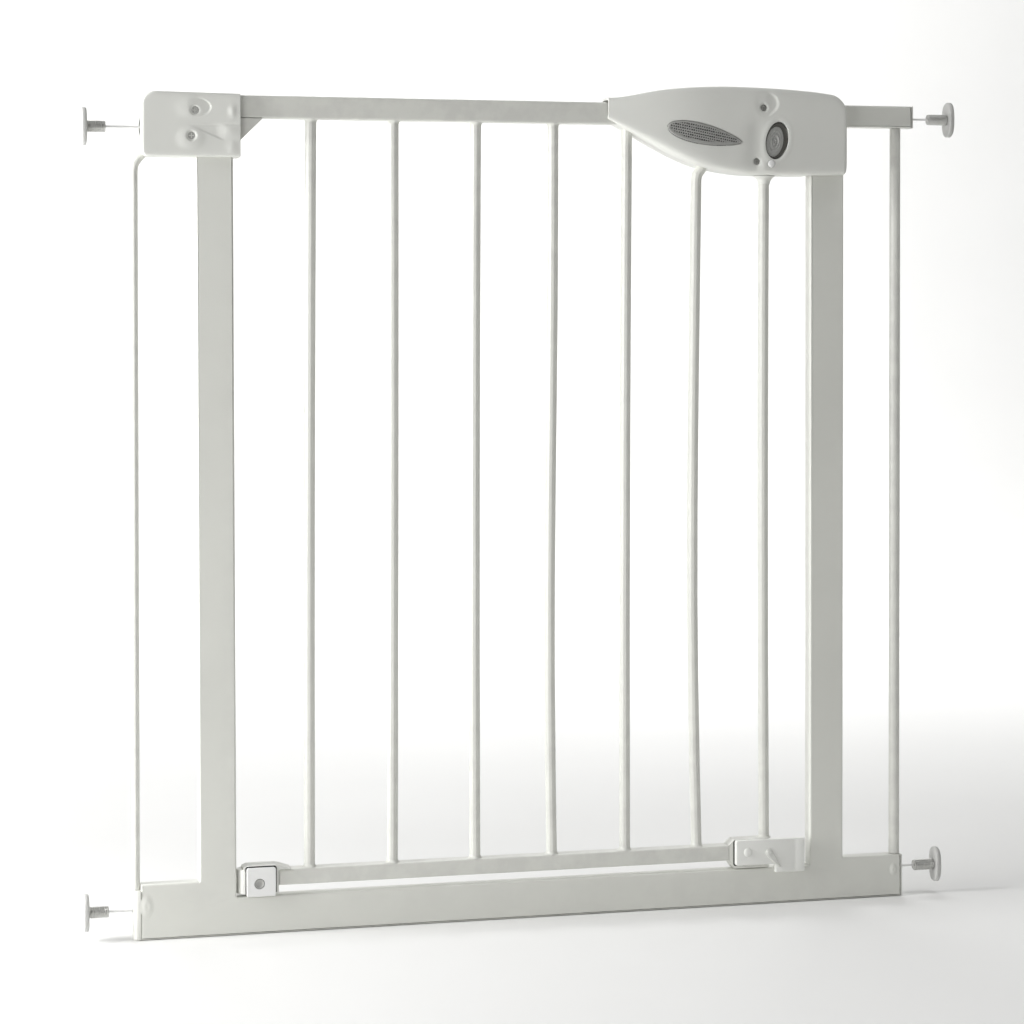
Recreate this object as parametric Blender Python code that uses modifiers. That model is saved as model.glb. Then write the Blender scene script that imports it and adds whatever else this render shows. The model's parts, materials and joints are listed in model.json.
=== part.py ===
"""Pressure-fit safety baby gate with a walk-through door, in metres.

The origin is on the floor under the middle of the gate. +X runs along the gate from the hinge
side to the latch side, +Y runs away from the side that the door opens towards, and +Z is up.
"""

import math
from collections import namedtuple

import bmesh
import bpy
from mathutils import Matrix, Vector

# ---- Driving dimensions -------------------------------------------------------------------
GAP = 0.0003  # between two pieces that touch
TUBE_DEPTH = 0.015  # every rectangular tube, front to back
TUBE_WALL = 0.0013
TUBE_CORNER = 0.0018

UPRIGHT_WIDTH = 0.033
LEFT_UPRIGHT_X = -0.2942
RIGHT_UPRIGHT_X = 0.2817
LEFT_UPRIGHT_TOP = 0.7455
RIGHT_UPRIGHT_TOP = 0.7500
FRAME_LEFT = -0.3625  # end of the left foot tube, without its cap
FRAME_RIGHT = 0.3568
THRESHOLD_HEIGHT = 0.0338
LEFT_FOOT_HEIGHT = 0.0492
LEFT_CAP_TOP = 0.0440  # the left foot's end cap, which the left rod stands on
RIGHT_FOOT_HEIGHT = 0.0394
STUB_BOTTOM, STUB_TOP, STUB_END = 0.7295, 0.7500, 0.3667

LEFT_ROD_X, LEFT_ROD_RADIUS = -0.3664, 0.0036  # at its foot
RIGHT_ROD_X, RIGHT_ROD_RADIUS = 0.3528, 0.0051
# The left rod's way up into the bracket, as places along the gate and heights.
ROD_BEND = ((-0.3648, 0.6800), (-0.3638, 0.6862), (-0.3610, 0.6908), (-0.3570, 0.6950),
            (-0.3500, 0.7020))

BRACKET_LEFT, BRACKET_RIGHT = -0.3594, -0.2718
BRACKET_BOTTOM = 0.6930
BRACKET_TOP, BRACKET_SLOPE = 0.7492, 0.0012  # its right end's height, and its rise to the left
BRACKET_DEPTH = 0.0140  # from the middle plane to the front face
# Radii at a shell's closed end, on its upper and lower corners and round its face.
BRACKET_CORNERS = (0.0140, 0.0060, 0.0030)
HOUSING_CORNERS = (0.0150, 0.0026, 0.0040)
SHELL_WALL = 0.0022
SLOT_CLEARANCE = 0.0004  # between a shell and the tube that runs through it

HINGE_X = -0.2640
HINGE_PIN_RADIUS = 0.0030
BUSH_RADIUS = 0.0057

DOOR_RAIL_BOTTOM, DOOR_RAIL_TOP = 0.7282, 0.7484
DOOR_RAIL_LEFT, DOOR_RAIL_RIGHT = -0.2720, 0.2560
LOW_RAIL_BOTTOM, LOW_RAIL_TOP = 0.0422, 0.0566
LOW_RAIL_LEFT, LOW_RAIL_RIGHT = -0.2394, 0.1844
BAR_RADIUS = 0.0051
# Each bar's place along the gate at its foot and at its top, how far it bows sideways at mid
# height, and how far its upper half sways back the other way.
Bar = namedtuple("Bar", "foot top bow sway")
BARS = (Bar(-0.2108, -0.2069, -0.0006, 0.0), Bar(-0.1347, -0.1318, 0.0003, 0.0),
        Bar(-0.0577, -0.0553, -0.0008, 0.0), Bar(0.0149, 0.0175, -0.0018, 0.0010),
        Bar(0.0852, 0.0879, -0.0009, 0.0), Bar(0.1550, 0.1550, -0.0038, 0.0005),
        Bar(0.2216, 0.2216, -0.0011, 0.0))
# How bar 6 steps sideways into the housing, as distances from its top place and heights.
BAR_6_STEP = ((0.0010, 0.6835), (0.0052, 0.6892), (0.0075, 0.6960))

HOUSING_LEFT, HOUSING_RIGHT, HOUSING_REAR_RIGHT = 0.0674, 0.2965, 0.2620
HOUSING_TIP_DEPTH, HOUSING_DEPTH = 0.0140, 0.0235
HOUSING_TOP = ((0.060, 0.7526), (0.078, 0.7531), (0.121, 0.7608), (0.170, 0.7643),
               (0.218, 0.7638), (0.260, 0.7615), (0.284, 0.7588), (0.300, 0.7567))
HOUSING_BOTTOM = ((0.060, 0.7373), (0.0688, 0.7325), (0.089, 0.7216), (0.109, 0.7111),
                  (0.133, 0.6995), (0.1576, 0.6905), (0.194, 0.6842), (0.228, 0.6832),
                  (0.300, 0.6838))

BUTTON_CENTRE, BUTTON_SIZE, BUTTON_TILT = (0.2267, 0.7146), (0.0107, 0.0172), math.radians(11.6)
BOLT_Z = 0.7130
BUTTON_SINK = 0.0032  # the button's face below the housing's
INDICATOR_AT, INDICATOR_RADIUS = (0.2208, 0.6930), 0.0035
SCREW_SHANK, BRACKET_HEAD, HOUSING_HEAD = 0.0016, 0.0038, 0.0030
LEAF_START, LEAF_END, LEAF_HALF_WIDTH = (0.1215, 0.7266), (0.1921, 0.7126), 0.0089
LEAF_PROUD, LEAF_DEEP = 0.0006, 0.0062  # how far the pad stands out of the face and goes into it
HOUSING_SCREWS = (("housing_screw_upper", 0.2137, 0.7447), ("housing_screw_lower", 0.2071, 0.6950))
BRACKET_SCREWS = (("bracket_screw_upper", -0.3122, 0.7337),
                  ("bracket_screw_lower", -0.3153, 0.7113))

SLEEVE_DEPTH, SLEEVE_X = 0.0096, -0.2674  # the knuckle's outside is set off its own axis
SLEEVE_BOTTOM, SLEEVE_TOP = 0.0361, 0.0578
COVER_FRONT = 0.0122
RIVET_AT, RIVET_RADIUS = (-0.2577, 0.0456), 0.0044
SHOE_LEFT, SHOE_RIGHT, SHOE_BOTTOM, SHOE_TOP = 0.1900, 0.2240, 0.0345, 0.0616
BLOCK_LEFT, BLOCK_STEP, BLOCK_RIGHT = 0.1899, 0.2288, 0.2577
BLOCK_FOOT, BLOCK_SHELF, BLOCK_TOP, BLOCK_FRONT = 0.0300, 0.0382, 0.0615, 0.0135
BLOCK_CHAMFER = 0.0012
BLOCK_PIN_AT, BLOCK_PIN_RADIUS = (0.2015, 0.0504), 0.0039
LEVER_PIVOT, LEVER_PIN_RADIUS = (0.2220, 0.0494), 0.0022
LEVER_FRONT, LEVER_BACK = 0.0163, 0.0138

# The four wall spindles: outer face of the pad, axis height, and inner end of the thick thread.
Spindle = namedtuple("Spindle", "name pad_x z thread_end stem_end")
SPINDLES = (
    Spindle("upper_left", -0.4104, 0.7190, -0.3888, -0.3360),
    Spindle("lower_left", -0.4126, 0.0257, -0.3898, -0.3400),
    Spindle("upper_right", 0.4093, 0.7383, 0.3852, 0.3440),
    Spindle("lower_right", 0.3975, 0.0270, 0.3724, 0.3300),
)
PAD_HALF_DEPTH, PAD_HALF_HEIGHT, PAD_THICKNESS, PAD_EDGE = 0.0105, 0.0165, 0.0047, 0.0009
THREAD_RADIUS, STEM_RADIUS, INSERT_BORE = 0.0052, 0.0024, 0.0027

# ---- Scene, materials and collections -----------------------------------------------------


def clear_scene():
    for obj in list(bpy.data.objects):
        bpy.data.objects.remove(obj, do_unlink=True)
    for group in list(bpy.data.collections):
        bpy.data.collections.remove(group)


def collection(name):
    made = bpy.data.collections.new(name)
    bpy.context.scene.collection.children.link(made)
    return made


def material(name, colour, roughness, metallic):
    made = bpy.data.materials.new(name)
    made.use_nodes = True
    shader = made.node_tree.nodes["Principled BSDF"]
    shader.inputs["Base Color"].default_value = (*colour, 1.0)
    shader.inputs["Roughness"].default_value = roughness
    shader.inputs["Metallic"].default_value = metallic
    return made


clear_scene()
GATE = collection("safety_baby_gate")
CUTTERS = collection("cutters")
CUTTERS.hide_render = True
WHITE_STEEL = material("white_steel", (0.80, 0.80, 0.77), 0.38, 0.0)
WHITE_PLASTIC = material("white_plastic", (0.84, 0.84, 0.81), 0.42, 0.0)
GREY_RUBBER = material("grey_rubber", (0.20, 0.20, 0.19), 0.75, 0.0)
GREY_PLASTIC = material("grey_plastic", (0.27, 0.27, 0.26), 0.50, 0.0)
ZINC = material("zinc", (0.62, 0.62, 0.60), 0.35, 1.0)

# ---- Shape helpers ------------------------------------------------------------------------
# Local axes of a profile extruded along each world axis: its own x and y, then the extrusion.
PROFILE_AXES = {
    "x": ((0, 1, 0), (0, 0, 1), (1, 0, 0)),
    "y": ((1, 0, 0), (0, 0, 1), (0, -1, 0)),
    "z": ((1, 0, 0), (0, 1, 0), (0, 0, 1)),
}


def place(name, data, surface, matrix=None):
    obj = bpy.data.objects.new(name, data)
    obj.matrix_world = matrix or Matrix.Identity(4)
    data.materials.append(surface)
    GATE.objects.link(obj)
    return obj


def shade(obj, angle=35):
    obj.data.shade_smooth()
    obj.data.set_sharp_from_angle(angle=math.radians(angle))


def from_bmesh(name, mesh, surface, matrix=None):
    data = bpy.data.meshes.new(name)
    mesh.to_mesh(data)
    mesh.free()
    obj = place(name, data, surface, matrix)
    shade(obj)
    return obj


def to_mesh(curve):
    """The curve object's own mesh with its caps welded, in a new object of the same name."""
    bpy.context.view_layer.update()
    graph = bpy.context.evaluated_depsgraph_get()
    data = bpy.data.meshes.new_from_object(curve.evaluated_get(graph))
    welded = bmesh.new()
    welded.from_mesh(data)
    bmesh.ops.remove_doubles(welded, verts=welded.verts, dist=0.000002)
    bmesh.ops.recalc_face_normals(welded, faces=welded.faces)
    welded.to_mesh(data)
    welded.free()
    name, matrix = curve.name, curve.matrix_world.copy()
    bpy.data.objects.remove(curve, do_unlink=True)
    obj = bpy.data.objects.new(name, data)
    obj.matrix_world = matrix
    GATE.objects.link(obj)
    shade(obj)
    return obj


def prism(name, loops, axis, low, high, surface):
    """A solid whose outline is the first loop and whose holes are the others."""
    curve = bpy.data.curves.new(name, "CURVE")
    curve.dimensions = "2D"
    curve.fill_mode = "BOTH"
    curve.extrude = (high - low) / 2
    for loop in loops:
        spline = curve.splines.new("POLY")
        spline.points.add(len(loop) - 1)
        for point, (a, b) in zip(spline.points, loop):
            point.co = (a, b, 0, 1)
        spline.use_cyclic_u = True
    across, up, along = (Vector(v) for v in PROFILE_AXES[axis])
    turn = Matrix((across, up, along)).transposed().to_4x4()
    middle = (low + high) / 2
    centre = Vector([middle if axis == letter else 0 for letter in "xyz"])
    return to_mesh(place(name, curve, surface, Matrix.Translation(centre) @ turn))


def arc(centre, radius, start, end, steps):
    """Points on an arc, with its angles in degrees."""
    angles = (math.radians(start + (end - start) * i / steps) for i in range(steps + 1))
    return [(centre[0] + radius * math.cos(a), centre[1] + radius * math.sin(a)) for a in angles]


def rounded_rectangle(low, high, radius, steps=2):
    (x0, y0), (x1, y1) = low, high
    corners = ((x1 - radius, y1 - radius, 0), (x0 + radius, y1 - radius, 90),
               (x0 + radius, y0 + radius, 180), (x1 - radius, y0 + radius, 270))
    return [p for x, y, a in corners for p in arc((x, y), radius, a, a + 90, steps)]


def tube(name, axis, low, high, ends, surface=WHITE_STEEL):
    """A rectangular tube with open ends. low and high are its section's corners."""
    inner_low = tuple(v + TUBE_WALL for v in low)
    inner_high = tuple(v - TUBE_WALL for v in high)
    loops = [rounded_rectangle(low, high, TUBE_CORNER),
             rounded_rectangle(inner_low, inner_high, TUBE_CORNER - TUBE_WALL + 0.0002, 1)]
    return prism(name, loops, axis, *ends, surface)


def box(name, low, high, surface, bevel=0.0):
    low, high = Vector(low), Vector(high)
    mesh = bmesh.new()
    bmesh.ops.create_cube(mesh, size=1.0)
    bmesh.ops.scale(mesh, vec=high - low, verts=mesh.verts)
    obj = from_bmesh(name, mesh, surface, Matrix.Translation((low + high) / 2))
    if bevel:
        rounding = obj.modifiers.new("rounded_edges", "BEVEL")
        rounding.width = bevel
        rounding.segments = 2
    return obj


def cylinder(name, start, end, radius, surface, sides=24, end_radius=None):
    """A cylinder, or a cone where end_radius is given, from one point to another."""
    start, end = Vector(start), Vector(end)
    along = end - start
    mesh = bmesh.new()
    bmesh.ops.create_cone(mesh, cap_ends=True, segments=sides, radius1=radius,
                          radius2=radius if end_radius is None else end_radius,
                          depth=along.length)
    turn = along.to_track_quat("Z", "Y").to_matrix().to_4x4()
    return from_bmesh(name, mesh, surface, Matrix.Translation((start + end) / 2) @ turn)


def turned(name, profile, surface, matrix, steps=24):
    """A profile of (radius, height) points, turned about the local Z axis.

    The profile runs down the outer side, from the top end to the bottom one.
    """
    data = bpy.data.meshes.new(name)
    points = [(r, 0.0, h) for r, h in profile]
    closed = profile[0][0] > 0
    edges = [(i, i + 1) for i in range(len(points) - 1)]
    if closed:
        edges.append((len(points) - 1, 0))
    data.from_pydata(points, edges, [])
    obj = place(name, data, surface, matrix)
    screw = obj.modifiers.new("turn", "SCREW")
    screw.steps = steps
    screw.render_steps = steps
    screw.use_merge_vertices = True
    screw.merge_threshold = 0.00001
    screw.use_normal_calculate = False
    screw.use_smooth_shade = False
    return obj


def bent_rod(name, points, radius, surface, sides_resolution=4):
    """A round rod along a chain of points."""
    curve = bpy.data.curves.new(name, "CURVE")
    curve.dimensions = "3D"
    curve.bevel_depth = radius
    curve.bevel_resolution = sides_resolution
    curve.use_fill_caps = True
    spline = curve.splines.new("POLY")
    spline.points.add(len(points) - 1)
    for point, place_at in zip(spline.points, points):
        point.co = (*place_at, 1)
    return to_mesh(place(name, curve, surface))


def boolean(obj, other, operation):
    change = obj.modifiers.new(other.name, "BOOLEAN")
    change.operation = operation
    change.solver = "EXACT"
    change.object = other
    GATE.objects.unlink(other)
    CUTTERS.objects.link(other)
    other.hide_render = True
    other.display_type = "WIRE"


def cut(obj, cutter):
    boolean(obj, cutter, "DIFFERENCE")


def join(obj, other):
    boolean(obj, other, "UNION")


def hang_on(parent_name, location, pieces):
    """Parents pieces to an empty at their joint, without moving them."""
    pivot = bpy.data.objects.new(parent_name, None)
    pivot.location = location
    GATE.objects.link(pivot)
    bpy.context.view_layer.update()
    for piece in pieces:
        piece.parent = pivot
        piece.matrix_parent_inverse = pivot.matrix_world.inverted()
    return pivot


def smooth_through(keys, x):
    """The height at x of a smooth line through the key points."""
    spans = list(zip(keys, keys[1:]))
    index = max(0, min(len(spans) - 1, sum(x > key[0] for key in keys) - 1))
    (x0, y0), (x1, y1) = spans[index]
    before = keys[max(index - 1, 0)]
    after = keys[min(index + 2, len(keys) - 1)]
    width = x1 - x0
    slope0 = (y1 - before[1]) / (x1 - before[0])
    slope1 = (after[1] - y0) / (after[0] - x0)
    t = (x - x0) / width
    return ((2 * t**3 - 3 * t**2 + 1) * y0 + (t**3 - 2 * t**2 + t) * width * slope0
            + (3 * t**2 - 2 * t**3) * y1 + (t**3 - t**2) * width * slope1)


# ---- Half shells --------------------------------------------------------------------------
# A half shell is lofted from sections across X. It starts at an open end, and at the other
# end it is either open too or closed by a wall with rounded corners.
Shell = namedtuple("Shell", "start direction length top bottom depth closed corners power")


def corner_drop(s, end, radius):
    over = s - (end - radius)
    if radius <= 0 or over <= 0:
        return 0.0
    return radius - math.sqrt(max(radius * radius - over * over, 0.0))


def shell_section(shell, share, inset, side, count):
    """Points of one section, from its lower edge round the face to its upper edge."""
    end = shell.length - (inset if shell.closed else 0.0)
    s = end * share
    x = shell.start + shell.direction * s
    top, bottom, depth = shell.top(x) - inset, shell.bottom(x) + inset, shell.depth(x) - inset
    if shell.closed:
        high, low, front = (radius - inset for radius in shell.corners)
        top -= corner_drop(s, end, high)
        bottom += corner_drop(s, end, low)
        depth -= corner_drop(s, end, front)
    middle, half = (top + bottom) / 2, (top - bottom) / 2
    points = []
    for j in range(count + 1):
        angle = math.pi * j / count
        rise = -math.copysign(abs(math.cos(angle)) ** (2 / shell.power), math.cos(angle))
        out = abs(math.sin(angle)) ** (2 / shell.power) if 0 < j < count else 0.0
        points.append((x, side * (GAP / 2 + depth * out), middle + half * rise))
    return points


def half_shell(name, shell, side, shares, surface, count=14):
    """side is -1 for the front half and +1 for the rear half."""
    mesh = bmesh.new()
    grids = []
    for inset in (0.0, SHELL_WALL):
        rows = [shell_section(shell, share, inset, side, count) for share in shares]
        grids.append([[mesh.verts.new(p) for p in row] for row in rows])
    outer, inner = grids
    for grid in grids:
        for row, following in zip(grid, grid[1:]):
            for j in range(count):
                mesh.faces.new((row[j], row[j + 1], following[j + 1], following[j]))
    for j in (0, count):
        for i in range(len(shares) - 1):
            mesh.faces.new((outer[i][j], outer[i + 1][j], inner[i + 1][j], inner[i][j]))
    rims = [0] if shell.closed else [0, len(shares) - 1]
    for i in rims:
        for j in range(count):
            mesh.faces.new((outer[i][j], outer[i][j + 1], inner[i][j + 1], inner[i][j]))
    if shell.closed:
        mesh.faces.new(outer[-1])
        mesh.faces.new(inner[-1])
        mesh.faces.new((outer[-1][0], outer[-1][count], inner[-1][count], inner[-1][0]))
    bmesh.ops.recalc_face_normals(mesh, faces=mesh.faces)
    return from_bmesh(name, mesh, surface)


def end_shares(length, radius, plain, rounded):
    """Stations along a shell, even over its length and close together round its far corner."""
    start = 1 - radius / length
    even = [start * i / plain for i in range(plain)]
    turn = [start + (1 - start) * math.sin(math.pi / 2 * i / rounded) for i in range(rounded + 1)]
    return even + turn


# ---- Frame --------------------------------------------------------------------------------
HALF_DEPTH = TUBE_DEPTH / 2
LEFT_OUTER, LEFT_INNER = LEFT_UPRIGHT_X - UPRIGHT_WIDTH / 2, LEFT_UPRIGHT_X + UPRIGHT_WIDTH / 2
RIGHT_INNER, RIGHT_OUTER = RIGHT_UPRIGHT_X - UPRIGHT_WIDTH / 2, RIGHT_UPRIGHT_X + UPRIGHT_WIDTH / 2


def rail(name, bottom, top, left, right):
    return tube(name, "x", (-HALF_DEPTH, bottom), (HALF_DEPTH, top), (left, right))


def frame_tubes():
    tube("left_upright", "z", (LEFT_OUTER, -HALF_DEPTH), (LEFT_INNER, HALF_DEPTH),
         (0, LEFT_UPRIGHT_TOP))
    tube("right_upright", "z", (RIGHT_INNER, -HALF_DEPTH), (RIGHT_OUTER, HALF_DEPTH),
         (0, RIGHT_UPRIGHT_TOP))
    rail("threshold_rail", 0, THRESHOLD_HEIGHT, LEFT_INNER + GAP, RIGHT_INNER - GAP)
    rail("left_foot_rail", 0, LEFT_FOOT_HEIGHT, FRAME_LEFT, LEFT_OUTER - GAP)
    rail("right_foot_rail", 0, RIGHT_FOOT_HEIGHT, RIGHT_OUTER + GAP, FRAME_RIGHT)
    rail("stub_rail", STUB_BOTTOM, STUB_TOP, RIGHT_OUTER + GAP, STUB_END)


def outer_rods():
    path = [(LEFT_ROD_X, 0, LEFT_CAP_TOP + GAP)] + [(x, 0, z) for x, z in ROD_BEND]
    bent_rod("left_outer_rod", path, LEFT_ROD_RADIUS, WHITE_STEEL)
    cylinder("right_outer_rod", (RIGHT_ROD_X, 0, RIGHT_FOOT_HEIGHT + GAP),
             (RIGHT_ROD_X, 0, STUB_BOTTOM - GAP), RIGHT_ROD_RADIUS, WHITE_STEEL)


def bracket_top(x):
    return BRACKET_TOP + BRACKET_SLOPE * (BRACKET_RIGHT - x) / (BRACKET_RIGHT - BRACKET_LEFT)


def bracket_shell():
    return Shell(BRACKET_RIGHT, -1, BRACKET_RIGHT - BRACKET_LEFT, bracket_top,
                 lambda x: BRACKET_BOTTOM, lambda x: BRACKET_DEPTH, True, BRACKET_CORNERS, 14)


def hinge_bracket():
    shell = bracket_shell()
    shares = end_shares(shell.length, BRACKET_CORNERS[0], 4, 6)
    for name, side in (("hinge_bracket_front", -1), ("hinge_bracket_rear", 1)):
        half = half_shell(name, shell, side, shares, WHITE_PLASTIC)
        cut(half, box(name + "_upright_slot",
                      (LEFT_OUTER - GAP, -HALF_DEPTH - GAP, 0.68),
                      (LEFT_INNER + GAP, HALF_DEPTH + GAP, LEFT_UPRIGHT_TOP + 0.0020),
                      WHITE_PLASTIC))
        cut(half, bent_rod(name + "_rod_hole",
                           [(x, 0, z) for x, z in ROD_BEND[1:]] + [(-0.3440, 0, 0.7080)],
                           LEFT_ROD_RADIUS + 0.0006, WHITE_PLASTIC))
        cut(half, cylinder(name + "_insert_hole", (-0.365, 0, SPINDLES[0].z),
                           (-0.350, 0, SPINDLES[0].z), 0.0068, WHITE_PLASTIC))
        cut(half, box(name + "_door_relief", (-0.2768, -0.0102, 0.7250),
                      (-0.2700, 0.0102, 0.7600), WHITE_PLASTIC))
        if side < 0:
            for screw_name, x, z in BRACKET_SCREWS:
                cut(half, cylinder(screw_name + "_hole", (x, -0.02, z), (x, -0.005, z),
                                   BRACKET_HEAD + SLOT_CLEARANCE, WHITE_PLASTIC))


def screw(name, x, z, head_y, tip_y, head_radius):
    """A pan-head screw that lies along Y with its head at the front."""
    length = tip_y - head_y
    profile = [(0, length), (SCREW_SHANK, length), (SCREW_SHANK, 0.0020), (head_radius, 0.0020),
               (head_radius, 0.0004), (head_radius - 0.0005, 0.0), (0, 0.0)]
    matrix = Matrix.Translation((x, head_y, z)) @ Matrix.Rotation(math.radians(-90), 4, "X")
    return turned(name, profile, ZINC, matrix, 16)


def upper_hinge():
    arm = prism("upper_hinge_arm",
                [[(LEFT_INNER + GAP, 0.7080), (-0.2708, 0.7087), (-0.2515, 0.7276),
                  (-0.2515, 0.7279), (LEFT_INNER + GAP, 0.7279)]],
                "y", -HALF_DEPTH, HALF_DEPTH, WHITE_STEEL)
    cut(arm, cylinder("arm_pin_hole", (HINGE_X, 0, 0.70), (HINGE_X, 0, 0.74),
                      HINGE_PIN_RADIUS + GAP, WHITE_STEEL))
    cylinder("upper_hinge_pin", (HINGE_X, 0, 0.7180), (HINGE_X, 0, 0.7450), HINGE_PIN_RADIUS,
             ZINC)


def lower_hinge_pin():
    foot = THRESHOLD_HEIGHT + GAP
    profile = [(0, 0.0566), (0.0024, 0.0566), (HINGE_PIN_RADIUS, 0.0558),
               (HINGE_PIN_RADIUS, foot + 0.0014), (0.0065, foot + 0.0014), (0.0065, foot),
               (0, foot)]
    turned("lower_hinge_pin", profile, ZINC, Matrix.Translation((HINGE_X, 0, 0)))


def bush(name, bottom, top):
    inner = HINGE_PIN_RADIUS + GAP
    profile = [(BUSH_RADIUS, top), (BUSH_RADIUS, bottom), (inner, bottom), (inner, top)]
    return turned(name, profile, WHITE_PLASTIC, Matrix.Translation((HINGE_X, 0, 0)))


def corner_inserts():
    """Threaded plugs that hold the spindles. The lower and right ones also cap their tubes."""
    upper_left = SPINDLES[0]
    turned("spindle_insert_upper_left",
           [(0.0065, 0.0), (0.0065, -0.0220), (INSERT_BORE, -0.0220), (INSERT_BORE, 0.0)],
           GREY_PLASTIC,
           Matrix.Translation((BRACKET_LEFT, 0, upper_left.z)) @ Matrix.Rotation(
               math.radians(-90), 4, "Y"))
    plugs = (
        ("spindle_insert_lower_left", FRAME_LEFT, -1, LEFT_FOOT_HEIGHT, 0, LEFT_CAP_TOP, 0.0066,
         SPINDLES[1]),
        ("spindle_insert_upper_right", STUB_END, 1, STUB_TOP, STUB_BOTTOM, STUB_TOP, 0.0010,
         SPINDLES[2]),
        ("spindle_insert_lower_right", FRAME_RIGHT, 1, RIGHT_FOOT_HEIGHT, 0, RIGHT_FOOT_HEIGHT,
         0.0010, SPINDLES[3]),
    )
    for name, end, out, tube_top, low, cap_top, cap, spindle in plugs:
        face = sorted((end + out * GAP, end + out * (GAP + cap)))
        plug = box(name, (face[0], -HALF_DEPTH, low), (face[1], HALF_DEPTH, cap_top),
                   WHITE_PLASTIC)
        inset = TUBE_WALL + 0.0005
        body_top = min(tube_top, cap_top) - inset
        body = sorted((end + out * (GAP + 0.0004), end - out * 0.0180))
        join(plug, box(name + "_body", (body[0], -HALF_DEPTH + inset, low + inset),
                       (body[1], HALF_DEPTH - inset, body_top), WHITE_PLASTIC))
        cut(plug, cylinder(name + "_bore", (end - out * 0.03, 0, spindle.z),
                           (end + out * 0.03, 0, spindle.z), INSERT_BORE, WHITE_PLASTIC))


def striker_plate():
    plate = box("striker_plate", (RIGHT_INNER - GAP - 0.0012, -0.0060, BOLT_Z - 0.0140),
                (RIGHT_INNER - GAP, 0.0060, BOLT_Z + 0.0140), ZINC)
    cut(plate, box("striker_window", (RIGHT_INNER - 0.01, -0.0045, BOLT_Z - 0.0065),
                   (RIGHT_INNER + 0.01, 0.0045, BOLT_Z + 0.0065), ZINC))


# ---- Door ---------------------------------------------------------------------------------


def door_rails():
    top = rail("door_top_rail", DOOR_RAIL_BOTTOM, DOOR_RAIL_TOP, DOOR_RAIL_LEFT,
               DOOR_RAIL_RIGHT)
    cut(top, cylinder("rail_pin_hole", (HINGE_X, 0, 0.72), (HINGE_X, 0, 0.735),
                      HINGE_PIN_RADIUS + 0.0008, WHITE_STEEL))
    low = rail("door_bottom_rail", LOW_RAIL_BOTTOM, LOW_RAIL_TOP, LOW_RAIL_LEFT,
               LOW_RAIL_RIGHT)
    return [top, low]


def bar_points(bar, bottom, top, steps=8):
    """A bar that leans, bows and sways between its two ends."""
    points = []
    for i in range(steps + 1):
        t = i / steps
        x = bar.foot + (bar.top - bar.foot) * t
        x += bar.bow * math.sin(math.pi * t) - bar.sway * math.sin(2 * math.pi * t)
        points.append((x, 0, bottom + (top - bottom) * t))
    return points


def door_bars():
    bars = []
    bottom, top = LOW_RAIL_TOP + GAP, DOOR_RAIL_BOTTOM - GAP
    for number, bar in enumerate(BARS, 1):
        if number == 6:
            points = bar_points(bar, bottom, BAR_6_STEP[0][1] - 0.0050)
            points += [(bar.top + shift, 0, z) for shift, z in BAR_6_STEP]
            points.append((bar.top + BAR_6_STEP[-1][0], 0, top))
        elif number == 7:
            points = bar_points(bar, SHOE_TOP + GAP, top)
        else:
            points = bar_points(bar, bottom, top)
        bars.append(bent_rod(f"door_bar_{number}", points, BAR_RADIUS, WHITE_STEEL))
    return bars


def housing_depth(x):
    """How far the housing stands out from the middle plane: it swells from tip to latch."""
    share = min(max((x - HOUSING_LEFT) / 0.150, 0.0), 1.0)
    swell = HOUSING_DEPTH - HOUSING_TIP_DEPTH
    return HOUSING_TIP_DEPTH + swell * math.sin(share * math.pi / 2)


def housing_shell(closed):
    right = HOUSING_RIGHT if closed else HOUSING_REAR_RIGHT
    return Shell(HOUSING_LEFT, 1, right - HOUSING_LEFT,
                 lambda x: smooth_through(HOUSING_TOP, x),
                 lambda x: smooth_through(HOUSING_BOTTOM, x), housing_depth, closed,
                 HOUSING_CORNERS, 8)


def leaf_outline(grow=0.0):
    """The grip pad's leaf: a pointed oval, wider towards its left end."""
    start, end = Vector(LEAF_START), Vector(LEAF_END)
    along = end - start
    length = along.length
    along.normalize()
    up = Vector((-along.y, along.x))
    points = []
    for sign, steps in ((1, range(0, 13)), (-1, range(11, 0, -1))):
        for i in steps:
            t = (1 - math.cos(math.pi * i / 12)) / 2
            swell = (math.sin(math.pi * t ** 0.72)) ** 0.62 if 0 < t < 1 else 0.0
            bulge = 1.0 if sign > 0 else 1.12
            out = grow if 0 < t < 1 else 0.0
            tip = -grow * 1.5 if t == 0 else (grow * 1.5 if t == 1 else 0.0)
            width = LEAF_HALF_WIDTH * swell * bulge + out
            spot = start + along * (length * t + tip) + up * sign * width
            points.append((spot.x, spot.y))
    return points


def oval_outline(grow=0.0, steps=28):
    """The release button's tilted oval."""
    (cx, cz), (half_x, half_z) = BUTTON_CENTRE, BUTTON_SIZE
    points = []
    for i in range(steps):
        angle = 2 * math.pi * i / steps
        a, b = (half_x + grow) * math.cos(angle), (half_z + grow) * math.sin(angle)
        points.append((cx + a * math.cos(BUTTON_TILT) + b * math.sin(BUTTON_TILT),
                       cz - a * math.sin(BUTTON_TILT) + b * math.cos(BUTTON_TILT)))
    return points


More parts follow.
